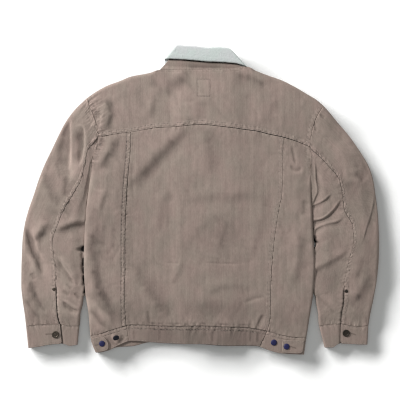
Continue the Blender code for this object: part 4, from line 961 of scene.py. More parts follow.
class Nodes:
    """A short way to write a shader."""

    def __init__(self, name):
        self.material = bpy.data.materials.new(name)
        self.material.use_nodes = True
        self.tree = self.material.node_tree
        self.shader = self.tree.nodes["Principled BSDF"]

    def new(self, kind, **settings):
        node = self.tree.nodes.new(kind)
        for key, value in settings.items():
            setattr(node, key, value)
        return node

    def put(self, socket, value):
        if isinstance(value, bpy.types.NodeSocket):
            self.tree.links.new(value, socket)
        else:
            socket.default_value = value

    def math(self, operation, a, b=0.0, c=0.0, clamp=False):
        node = self.new("ShaderNodeMath", operation=operation, use_clamp=clamp)
        for k, value in enumerate((a, b, c)):
            self.put(node.inputs[k], value)
        return node.outputs[0]

    def total(self, first, *rest):
        for value in rest:
            first = self.math("ADD", first, value)
        return first

    def times(self, a, b):
        return self.math("MULTIPLY", a, b)

    def attribute(self, name):
        return self.new("ShaderNodeAttribute", attribute_name=name)

    def vector(self, x, y, z=0.0):
        node = self.new("ShaderNodeCombineXYZ")
        for k, value in enumerate((x, y, z)):
            self.put(node.inputs[k], value)
        return node.outputs[0]

    def noise(self, vector, scale=1.0, detail=2.0, rough=0.5, distortion=0.0):
        node = self.new("ShaderNodeTexNoise")
        self.put(node.inputs["Vector"], vector)
        node.inputs["Scale"].default_value = scale
        node.inputs["Detail"].default_value = detail
        node.inputs["Roughness"].default_value = rough
        node.inputs["Distortion"].default_value = distortion
        return node.outputs["Fac"]

    def cells(self, vector, scale, feature="F1", smooth=None):
        node = self.new("ShaderNodeTexVoronoi", feature=feature)
        self.put(node.inputs["Vector"], vector)
        node.inputs["Scale"].default_value = scale
        return node.outputs["Distance"]

    def mix(self, fac, a, b, blend="MIX"):
        node = self.new("ShaderNodeMix", data_type="RGBA", blend_type=blend)
        self.put(node.inputs[0], fac)
        for k, value in ((6, a), (7, b)):
            self.put(node.inputs[k], (*value, 1.0) if isinstance(value, tuple) and len(value) == 3 else value)
        return node.outputs[2]

    def scale_colour(self, colour, value):
        node = self.new("ShaderNodeVectorMath", operation="SCALE")
        self.put(node.inputs[0], colour)
        self.put(node.inputs["Scale"], value)
        return node.outputs[0]

    def remap(self, value, low, high, to_low=0.0, to_high=1.0):
        node = self.new("ShaderNodeMapRange")
        self.put(node.inputs[0], value)
        for k, v in enumerate((low, high, to_low, to_high)):
            node.inputs[k + 1].default_value = v
        return node.outputs[0]

    def bump(self, height, distance, strength=1.0, normal=None):
        node = self.new("ShaderNodeBump")
        self.put(node.inputs["Height"], height)
        node.inputs["Distance"].default_value = distance
        node.inputs["Strength"].default_value = strength
        if normal is not None:
            self.put(node.inputs["Normal"], normal)
        return node.outputs[0]

    def set(self, **values):
        for key, value in values.items():
            self.put(self.shader.inputs[key.replace("_", " ")], value)


PINK, GREY = (0.329, 0.2525, 0.2225), (0.302, 0.2455, 0.212)


def corduroy(name="corduroy_cloth", pitch=2.1, light=1.0):
    n = Nodes(name)
    split = n.new("ShaderNodeSeparateXYZ")
    n.put(split.inputs[0], n.attribute("cloth").outputs["Vector"])
    across, along = split.outputs[0], split.outputs[1]
    wear_and_painted_light, painted_shading = n.attribute("wear_and_painted_light").outputs["Fac"], n.attribute("painted_shading").outputs["Fac"]
    # the wales: soft round ribs
    wander = n.noise(n.vector(n.times(across, 0.05), n.times(along, 0.03)), detail=1.0)
    phase = n.math("ADD", n.times(across, 2 * math.pi / pitch), n.times(wander, 5.0))
    wale = n.remap(n.math("SINE", phase), -1.0, 1.0, 0.0, 1.0)
    rib = n.math("POWER", wale, 0.6)
    # fading in long streaks along the wales, and in broad patches
    streak = n.noise(n.vector(n.times(across, 0.36), n.times(along, 0.011)), detail=3.0, rough=0.6)
    broad = n.noise(n.vector(n.times(across, 0.075), n.times(along, 0.006), 4.0), detail=2.0)
    patch = n.noise(n.vector(n.times(across, 0.012), n.times(along, 0.010), 9.0), detail=2.0)
    tone = n.noise(n.vector(n.times(across, 0.026), n.times(along, 0.017), 17.0), detail=3.0)
    nap = n.noise(n.vector(n.times(across, 1.6), n.times(along, 0.55), 2.0), detail=3.0, rough=0.65)
    colour = n.mix(n.remap(tone, 0.36, 0.64), PINK, GREY)
    fleck = n.noise(n.vector(n.times(across, 0.75), n.times(along, 0.16), 5.0), detail=2.0, rough=0.6)
    grain = n.noise(n.vector(n.times(across, 0.40), n.times(along, 0.12), 13.0), detail=2.0, rough=0.7)
    # The last two terms paint light and shade into the colour: the first lightens it for wear and painted light, the
    # second darkens it with painted shade, and lightens it with painted light where it is below zero.
    level = n.total(
        0.59 * light,
        n.times(n.remap(streak, 0.25, 0.75), 0.17 * light),
        n.times(n.remap(fleck, 0.25, 0.75), 0.18 * light),
        n.times(n.remap(grain, 0.25, 0.75), 0.13 * light),
        n.times(n.remap(broad, 0.25, 0.75), 0.035 * light),
        n.times(n.remap(patch, 0.25, 0.75), 0.10 * light),
        n.times(n.remap(nap, 0.2, 0.8), 0.16 * light),
        n.times(rib, 0.10 * light),
        n.times(wear_and_painted_light, 0.20),
        n.times(painted_shading, -0.36),
    )
    n.set(Base_Color=n.scale_colour(colour, level), Roughness=n.remap(nap, 0.2, 0.8, 0.84, 0.96))
    n.set(Sheen_Weight=0.22, Sheen_Roughness=0.45, Sheen_Tint=(0.86, 0.82, 0.78, 1.0), Specular_IOR_Level=0.18)
    height = n.total(n.times(rib, 1.0), n.times(nap, 0.55))
    n.set(Normal=n.bump(height, 0.00045, 0.75))
    return n.material


def sherpa(name="sherpa_pile", light=1.0):
    n = Nodes(name)
    spot = n.new("ShaderNodeTexCoord").outputs["Object"]
    warp = n.noise(spot, 240.0, 2.0)
    shift = n.new("ShaderNodeVectorMath", operation="MULTIPLY_ADD")
    n.put(shift.inputs[0], n.vector(warp, warp, 0.0))
    shift.inputs[1].default_value = (0.004, 0.004, 0.004)
    n.put(shift.inputs[2], spot)
    curl = n.cells(shift.outputs[0], 330.0)
    fine = n.noise(spot, 900.0, 3.0, 0.6)
    cloud = n.noise(spot, 26.0, 2.0)
    colour = n.mix(n.remap(cloud, 0.38, 0.62), (0.565 * light, 0.622 * light, 0.605 * light), (0.597 * light, 0.612 * light, 0.62 * light))
    level = n.total(1.0, n.times(n.remap(curl, 0.15, 0.75), -0.06), n.times(n.remap(fine, 0.25, 0.75), 0.05))
    # The same painted shade darkens the pile.
    level = n.total(level, n.times(n.attribute("painted_shading").outputs["Fac"], -0.18))
    n.set(Base_Color=n.scale_colour(colour, level), Roughness=0.95, Sheen_Weight=0.3, Sheen_Roughness=0.5, Specular_IOR_Level=0.15)
    n.set(Subsurface_Weight=0.0)
    height = n.total(n.times(curl, -1.0), n.times(fine, 0.35))
    n.set(Normal=n.bump(height, 0.0007, 0.5))
    return n.material


def lining(name="quilted_lining"):
    n = Nodes(name)
    spot = n.new("ShaderNodeTexCoord").outputs["Object"]
    weave = n.noise(spot, 1500.0, 2.0)
    broad = n.noise(spot, 30.0, 2.0)
    colour = n.mix(n.remap(broad, 0.3, 0.7), (0.17, 0.145, 0.125), (0.21, 0.18, 0.155))
    n.set(Base_Color=n.scale_colour(colour, n.remap(weave, 0.2, 0.8, 0.88, 1.1)), Roughness=0.7, Specular_IOR_Level=0.3)
    n.set(Normal=n.bump(weave, 0.0002, 0.5))
    return n.material


def metal(name, colour, worn, rough, metallic, coat=0.0):
    n = Nodes(name)
    spot = n.new("ShaderNodeTexCoord").outputs["Object"]
    cloud = n.noise(spot, 420.0, 4.0, 0.62)
    scratch = n.noise(spot, 2600.0, 2.0, 0.7)
    n.set(
        Base_Color=n.mix(n.remap(cloud, 0.48, 0.78), colour, worn),
        Roughness=n.remap(scratch, 0.2, 0.8, rough - 0.07, rough + 0.12),
        Metallic=metallic,
        Coat_Weight=coat,
        Coat_Roughness=0.25,
    )
    n.set(Normal=n.bump(n.total(n.times(scratch, 0.4), cloud), 0.00008, 0.6))
    return n.material


def thread(name, colour):
    n = Nodes(name)
    spot = n.new("ShaderNodeTexCoord").outputs["Object"]
    fine = n.noise(spot, 1400.0, 2.0)
    n.set(Base_Color=n.scale_colour(n.vector(*colour), n.remap(fine, 0.25, 0.75, 0.78, 1.18)), Roughness=0.75, Sheen_Weight=0.1)
    n.set(Specular_IOR_Level=0.3, Normal=n.bump(fine, 0.00012, 0.7))
    return n.material


CORDUROY = corduroy()
BAND_CORDUROY = corduroy("corduroy_band", light=0.96)
# A darker copy of the corduroy for the back waistband: partly cloth that is less worn, partly painted shade.
WAIST_CORDUROY_LESS_WORN_AND_SHADED = corduroy("corduroy_waist_less_worn_and_shaded", light=0.70)
SHERPA = sherpa()
LINING = lining()
THREAD = thread("tan_thread", (0.39, 0.325, 0.29))
DARK_THREAD = thread("brown_thread", (0.12, 0.092, 0.078))
SLIT = thread("slit_shade", (0.018, 0.013, 0.011))
BRONZE = metal("dark_bronze", (0.085, 0.068, 0.055), (0.20, 0.165, 0.13), 0.42, 0.75)
# A darker copy of the bronze, for the button and the rivet on the right.
BRONZE_DARKER = metal("bronze_darker", (0.032, 0.026, 0.021), (0.075, 0.06, 0.048), 0.5, 0.6)
NAVY = metal("navy_enamel", (0.008, 0.009, 0.070), (0.018, 0.020, 0.115), 0.55, 0.0)
NAVY_SHADED = metal("navy_enamel_shaded", (0.004, 0.005, 0.014), (0.010, 0.012, 0.035), 0.7, 0.0)

BODY_MATS = [CORDUROY, SHERPA]
SLEEVE_MATS = [CORDUROY, LINING]
BAND_MATS = [BAND_CORDUROY, BAND_CORDUROY]


def cloth_piece(node):
    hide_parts(node)


# ---------------------------------------------------------------- body


def near_edges(x, y, sides):
    share = np.ones(x.shape)
    if "left" in sides:
        share = share * ease((x - BODY("left_edge", y)) / 40)
    if "right" in sides:
        share = share * ease((BODY("right_edge", y) - x) / 40)
    if "top" in sides:
        share = share * ease((LINES("top", x) - y) / 40)
    return share


def crown(x, y):
    """How the soft body stands up between its edges."""
    side = np.minimum(x - BODY("left_edge", y), BODY("right_edge", y) - x)
    return 2.8 * ease(side / 95) * ease((LINES("top", x) - y) / 90) * ease((y - LINES("band_seam", x)) / 75)


def back_inner(x, y, sides, relief=None):
    stand_off = LAYER_GAP + slack(x, y) + (LOFT * (1 - 0.75 * neck_share(x, y))) * near_edges(x, y, sides)
    bed = front_top(x, y, body_wall(x, y))
    low = bed + np.minimum(stand_off, 3.5) + crown(x, y)
    return low if relief is None else sink(low, bed + 0.4, relief, body_wall(x, y) - 2.6)


def shoulder_share(x):
    return np.where(x < 0, ease((NECK["left"] - 6 - x) / 14), ease((x - NECK["right"] - 6) / 14))


def rectangle_patch(x, y):
    """A stitched rectangle on the yoke, slightly raised."""
    edge = np.maximum(np.abs(x - 9.0) - 14.5, np.abs(y - 267.5) - 20.0)
    return 0.30 * ease((1.2 - edge) / 2.4) - 0.75 * np.exp(-((edge / 1.3) ** 2))


def roll_upper(out, low, d, radius, level, share):
    """Rounds an upper layer off to the level where it meets the lower one."""
    k = 1 - share * (1 - roundness(d, radius))
    return level + (out - level) * k, level + (low - level) * k


def held(y, side):
    """How far the body and the sleeve still hold together below the underarm."""
    low, high = {"left": (44.0, 86.0), "right": (8.0, 66.0)}[side]
    return ease((y - low) / (high - low))


def make_back():
    tip = {s: float(BODY(f"{s}_edge", TIP[s])) for s in TIP}
    end = {s: float(BODY(f"{s}_edge", SEAM_START[s])) for s in TIP}
    top = join(line("top", tip["left"], NECK["left"]), line("top", NECK["left"], NECK["right"]), line("top", NECK["right"], tip["right"]))
    seam = join(
        line("yoke_seam", end["left"], MID_SEAM["left"]),
        line("yoke_seam", MID_SEAM["left"], MID_SEAM["right"]),
        line("yoke_seam", MID_SEAM["right"], end["right"]),
    )
    patch = Patch(top, seam, body_edge("left_edge", TIP["left"], SEAM_START["left"]), body_edge("right_edge", TIP["right"], SEAM_START["right"]))
    radius = 9.0
    side_radius = {"left": 9.0, "right": 6.5}
    g = Grid(patch, BODY_STEP, left=SEAM, right=SEAM, top=round_lines(radius, 7, (2, 4.5)), bottom=FELL)
    x, y = g.x, g.y
    low = back_inner(x, y, ["top"])
    relief = creases(x, y, "body") + rumple(x, y, 11, 1.25) + rectangle_patch(x, y)
    relief = relief + seam_shape(g.d["bottom"], g.s["bottom"], "fell", 0.45, 9, 21, (2.0, 8.4))
    relief = relief + seam_shape(g.d["left"], g.s["left"], "fell", 1.05, 22, 31, (8.4,), 6.0, 0.35, 0.25)
    relief = relief + seam_shape(g.d["right"], g.s["right"], "fell", 0.40, 10, 41, (8.8,), 7.0, 0.6)
    neck = (1 - shoulder_share(x)) * (abs(x) < 140)
    relief = relief + neck * seam_shape(g.d["top"], g.s["top"], "plain", 0.25, 7, 51, (3.0,))
    relief = relief * (1 - shoulder_share(x) * (1 - ease(g.d["top"] / 12)))
    out = low + body_wall(x, y) + relief
    low = back_inner(x, y, ["top"], relief)
    out = settle(out, low)
    level = back_inner(x, y, ["top"]) - 0.05
    share = shoulder_share(x)
    out, low = roll_upper(out, low, g.d["top"], radius, level, share)
    g.pull_in(["left", "right", "bottom", "top"])
    inside = stack3(g.plan + g.inward("top") * (1.2 * share * (1 - roundness(g.d["top"], radius)))[..., None], low)
    # Painted shade along the yoke seam and its stitch row, less of it towards the right.
    calm = 1 - 0.6 * ease((x - 10) / 60)
    painted_shading = 0.5 * calm * np.exp(-(((g.d["bottom"] - 8.4) / 1.1) ** 2)) + 0.6 * calm * np.exp(-((g.d["bottom"] / 0.9) ** 2))
    # Painted shade on the stitched rectangle's edge, deeper towards its lower right; then the patches of painted light
    # and shade, and the stitch marks.
    edge = np.maximum(np.abs(x - 9.0) - 14.5, np.abs(y - 267.5) - 20.0)
    worn = 0.16 + 0.20 * ease((x - 9.0 - 0.6 * (y - 267.5) + 10) / 20)
    painted_shading = painted_shading + worn * np.exp(-((edge / 1.2) ** 2)) + paint_light_and_shade(x, y, "body")
    painted_shading = painted_shading + ticks(g.d["bottom"], g.s["bottom"], (4.5, 8.2), 135, 0.30, 0.5)
    painted_shading = painted_shading + ticks(g.d["left"], g.s["left"], (3.0, 8.4, 15.0), 136, 0.35, 0.7, 2.4) + ticks(g.d["right"], g.s["right"], (3.0, 8.8), 137, 0.35, 0.5)
    thing = shell("yoke_cloth", stack3(g.plan, out), inside, BODY_MATS, g.plan, relief, painted_shading)
    cloth_piece("back_yoke")
    stitch_row(patch.parallel("bottom", 8.4), ["yoke_cloth"], seed=2)
    stitch_row(patch.parallel("bottom", 2.0), ["yoke_cloth"], seed=3)
    stitch_row(patch.parallel("left", 8.4, 0.04, 0.97), ["yoke_cloth"], skip=0.5, seed=4)
    stitch_row(patch.parallel("right", 8.8, 0.04, 0.97), ["yoke_cloth"], seed=5)
    for a, b in (((-5.5, 287.5), (-5.5, 247.5)), ((23.5, 287.5), (23.5, 247.5)), ((-5.5, 287.5), (23.5, 287.5)), ((-5.5, 247.5), (23.5, 247.5))):
        stitch_row(straight(a, b), ["yoke_cloth"], start=1.0, end=1.0)

    # the centre panel and the two side panels
    princess = {}
    for side in ("left", "right"):
        edge = body_edge(f"{side}_princess", float(LINES("yoke_seam", MID_SEAM[side])), float(LINES("band_seam", LOW_SEAM[side])))
        edge[0] = (MID_SEAM[side], float(LINES("yoke_seam", MID_SEAM[side])))
        edge[-1] = (LOW_SEAM[side], float(LINES("band_seam", LOW_SEAM[side])))
        princess[side] = edge
    top = line("yoke_seam", MID_SEAM["left"], MID_SEAM["right"])
    bottom = line("band_seam", LOW_SEAM["left"], LOW_SEAM["right"])
    patch = Patch(top, bottom, princess["left"], princess["right"])
    g = Grid(patch, BODY_STEP, left=SEAM, right=FELL, top=SEAM, bottom=SEAM)
    x, y = g.x, g.y
    low = back_inner(x, y, [])
    relief = creases(x, y, "body") + rumple(x, y, 11, 1.15)
    relief = relief + seam_shape(g.d["top"], g.s["top"], "under", 0.40, 10, 61)
    relief = relief + seam_shape(g.d["bottom"], g.s["bottom"], "under", 0.48, 15, 62, (), 9.0)
    relief = relief + seam_shape(g.d["left"], g.s["left"], "under", 0.35, 9, 63)
    relief = relief + seam_shape(g.d["right"], g.s["right"], "fell", 0.16, 9, 64, (2.0, 8.6), 6.0, 0.4, 0.5)
    out = low + body_wall(x, y) + relief
    low = back_inner(x, y, [], relief)
    out = settle(out, low)
    g.pull_in(["left", "right", "bottom", "top"])
    # Painted shade along the seams, in a broken line just above the waistband seam and in the patches; painted light
    # and shade in the stitch marks.
    painted_shading = 0.3 * np.exp(-(((g.d["right"] - 8.6) / 1.1) ** 2)) + 0.35 * np.exp(-((g.d["right"] / 0.9) ** 2))
    painted_shading = painted_shading + 0.6 * (1 - 0.6 * ease((x - 10) / 60)) * np.exp(-((g.d["top"] / 1.0) ** 2)) + 0.9 * np.exp(-((g.d["left"] / 1.1) ** 2))
    hem = g.d["bottom"]
    painted_shading = painted_shading + 0.9 * np.exp(-((hem / 2.1) ** 2)) * (0.8 + 0.5 * noise(x / 6, 0.5, 65)) + 0.22 * np.exp(-(((hem - 5.0) / 7.0) ** 2))
    painted_shading = painted_shading + 1.1 * np.exp(-(((hem - 7.0) / 2.3) ** 2)) * np.clip(0.3 + 1.6 * noise(x / 8, 0.5, 66), 0, 1) + paint_light_and_shade(x, y, "body")
    painted_shading = painted_shading + ticks(g.d["right"], g.s["right"], (3.5, 8.6), 141, 0.18, 0.32)
    thing = shell("centre_back_cloth", stack3(g.plan, out), stack3(g.plan, low), BODY_MATS, g.plan, relief, painted_shading)
    cloth_piece("back_centre")
    stitch_row(patch.parallel("right", 8.6), ["centre_back_cloth"], seed=6)
    stitch_row(patch.parallel("right", 2.0), ["centre_back_cloth"], seed=7)

    for side in ("left", "right"):
        edge = body_edge(f"{side}_edge", SEAM_START[side], SIDE_END[side])
        band = float(BODY(f"{side}_edge", SIDE_END[side]))
        if side == "left":
            patch = Patch(line("yoke_seam", end["left"], MID_SEAM["left"]), line("band_seam", band, LOW_SEAM["left"]), edge, princess["left"])
            g = Grid(patch, BODY_STEP, left=round_lines(radius, 7, (2, 4.5)), right=FELL, top=SEAM, bottom=SEAM)
            outer, inner, kind, rows = "left", "right", "fell", (2.0, 8.8)
        else:
            patch = Patch(line("yoke_seam", MID_SEAM["right"], end["right"]), line("band_seam", LOW_SEAM["right"], band), princess["right"], edge)
            g = Grid(patch, BODY_STEP, left=SEAM, right=round_lines(side_radius[side], 7, (2, 4.5)), top=SEAM, bottom=SEAM)
            outer, inner, kind, rows = "right", "left", "under", ()
        x, y = g.x, g.y
        low = back_inner(x, y, [side])
        share = ease((UNDERARM + 6 - y) / 16)
        relief = creases(x, y, "body") + rumple(x, y, 11, 1.6)
        relief = relief + seam_shape(g.d["top"], g.s["top"], "under", 0.45, 11, 71)
        relief = relief + seam_shape(g.d["bottom"], g.s["bottom"], "under", 0.55, 13, 72)
        relief = relief + seam_shape(g.d[inner], g.s[inner], kind, 0.22, 9, 73, rows)
        arm = (1.0, 17, (8.4,), 0.5) if side == "left" else (0.45, 11, (8.8,), 0.6)
        hole = seam_shape(g.d[outer], g.s[outer], "fell", arm[0], arm[1], 74, arm[2], 7.0, arm[3], 0.45)
        edge_waves = 0.35 * noise(y / 13, 0.5, 75) * np.exp(-((g.d[outer] / 14) ** 2))
        relief = relief + (1 - ease((UNDERARM + 40 - y) / 62)) * hole + share * edge_waves
        out = low + body_wall(x, y) + relief
        low = back_inner(x, y, [side], relief)
        out = settle(out, low)
        lip = {"left": 1.3, "right": 0.9}[side]
        level = back_inner(x, y, [side]) - 0.05 + lip * ease((UNDERARM - y) / 70) * ease((y - LINES("band_seam", x)) / 30)
        level = level + 0.75 * held(y, side) * np.maximum(out - level, 0)
        out, low = roll_upper(out, low, g.d[outer], side_radius[side], level, share)
        g.pull_in(["left", "right", "bottom", "top"])
        inside = stack3(g.plan + g.inward(outer) * (1.2 * share * (1 - roundness(g.d[outer], side_radius[side])))[..., None], low)
        # Painted shade along the seams, in dashes beside the left side panel's princess seam, and in the patches;
        # painted light and shade in the stitch marks.
        painted_shading = (0.5 if side == "left" else 0.25) * np.exp(-((g.d[inner] / 0.9) ** 2)) + 0.6 * np.exp(-((g.d["top"] / 1.0) ** 2)) + 0.5 * np.exp(-((g.d["bottom"] / 1.0) ** 2))
        if side == "left":
            dashes = np.clip(1.0 + 0.7 * noise(g.s["right"] / 3.4, 0.5, 76), 0.3, 1.5)
            painted_shading = painted_shading + 1.45 * dashes * np.exp(-(((g.d["right"] - 9.4) / 1.5) ** 2)) + 1.0 * np.exp(-((g.d["right"] / 1.4) ** 2))
            painted_shading = painted_shading + ticks(g.d["right"], g.s["right"], (3.4, 5.8), 144, 0.6, 0.35, 1.2)
        painted_shading = painted_shading + paint_light_and_shade(x, y, "body") + (1 - share) * ticks(g.d[outer], g.s[outer], (3.0, 8.4, 14.0), 147, 0.35, 0.6, 2.0)
        name = f"side_back_cloth_{side}"
        thing = shell(name, stack3(g.plan, out), inside, BODY_MATS, g.plan, relief, painted_shading)
        cloth_piece(f"back_side_{side}")
        if side == "left":
            stitch_row(patch.parallel("right", 8.8), [name], seed=8)
            stitch_row(patch.parallel("right", 2.0), [name], seed=9)
            stitch_row(patch.parallel("left", 8.4, 0.0, 0.15), [name], seed=10)
        else:
            stitch_row(patch.parallel("right", 8.8, 0.0, 0.13), [name], seed=11)


def neck_curve(side):
    x0 = FRONT_CORNER[side]
    x1 = -LAP if side == "left" else -LAP + 1.0
    t = np.linspace(0, 1, 120)
    y0 = float(LINES("top", x0))
    return polyline(x0 + (x1 - x0) * (0.35 * t + 0.65 * t**1.8), y0 + (FRONT_NECK - y0) * (1 - (1 - t) ** 1.7))


def make_fronts():
    for side in ("left", "right"):
        tip = float(BODY(f"{side}_edge", TIP[side]))
        top = join(line("top", tip, FRONT_CORNER[side]), neck_curve(side))
        edge = body_edge(f"{side}_edge", TIP[side], SIDE_END[side])
        low_x = float(BODY(f"{side}_edge", SIDE_END[side]))
        bottom = line("band_seam", low_x, top[-1][0])
        middle = straight(top[-1], bottom[-1])
        patch = Patch(top, bottom, edge, middle)
        radius = 7.0
        g = Grid(patch, PLAIN_STEP, left=round_lines(radius, 5), top=round_lines(radius, 5), right=PLAIN, bottom=PLAIN)
        x, y = g.x, g.y
        under, thick = front_height(x, y, side, body_wall(x, y))
        share_side = ease((UNDERARM + 6 - y) / 16)
        share_top = shoulder_share(x) * (y > 200)
        high, out = under + thick, under
        for d, share in ((g.d["left"], share_side), (g.d["top"], share_top)):
            k = 1 - share * (1 - roundness(d, radius))
            level = under + thick
            out = level + (out - level) * k
        pull = {"left": 4.6, "right": 3.0}[side] * share_side * ease(1 - g.d["left"] / 70) * (1 if side == "left" else -1)
        g.pull_in(["left", "right", "bottom", "top"])
        g.plan[..., 0] += pull
        lip = g.inward("left") * (1.2 * share_side * (1 - roundness(g.d["left"], radius)))[..., None]
        lip = lip + g.inward("top") * (1.2 * share_top * (1 - roundness(g.d["top"], radius)))[..., None]
        relief = np.zeros(x.shape)
        name = f"front_cloth_{side}"
        thing = shell(name, stack3(g.plan, out), stack3(g.plan + lip, high - 0.02), BODY_MATS, g.plan, relief, skip=2)
        cloth_piece(f"front_{side}")
    levels = np.array([FRONT_NECK, float(LINES("band_seam", 0.0))])
    patch = Patch(straight((-LAP, levels[0]), (LAP, levels[0])), straight((-LAP, levels[1]), (LAP, levels[1])), straight((-LAP, levels[0]), (-LAP, levels[1])), straight((LAP, levels[0]), (LAP, levels[1])))
    g = Grid(patch, 4.0, left=HEM, right=HEM, top=HEM, bottom=PLAIN)
    x, y = g.x, g.y
    under = LEAF_RISE * neck_share(x, y) + PLACKET_RISE * ease((x + 66) / 42)
    middle = under + PLACKET_WALL / 2
    edge = np.minimum(np.minimum(g.d["left"], g.d["right"]), g.d["top"])
    k = 0.35 + 0.65 * roundness(edge, 1.4)
    g.pull_in(["left", "right", "bottom", "top"])
    seams = 0.3 * np.exp(-(((edge - 3.0) / 0.8) ** 2))
    out = middle - (PLACKET_WALL / 2) * k + seams
    thing = shell("placket_cloth", stack3(g.plan, out), stack3(g.plan, middle + PLACKET_WALL / 2 * k), BAND_MATS, g.plan, -seams, skip=2)
    cloth_piece("front_placket")


# ---------------------------------------------------------------- waistband


def band_inner(x):
    return front_top(x, np.full_like(x, -330.0), BAND_WALL) + 2 * WRAP_RADIUS


def hem_round(out, low, d, radius=1.6, least=0.3):
    """Rounds the free edge of a band on both of its faces."""
    middle = (out + low) / 2
    k = least + (1 - least) * roundness(d, radius)
    return middle + (out - middle) * k, middle + (low - middle) * k


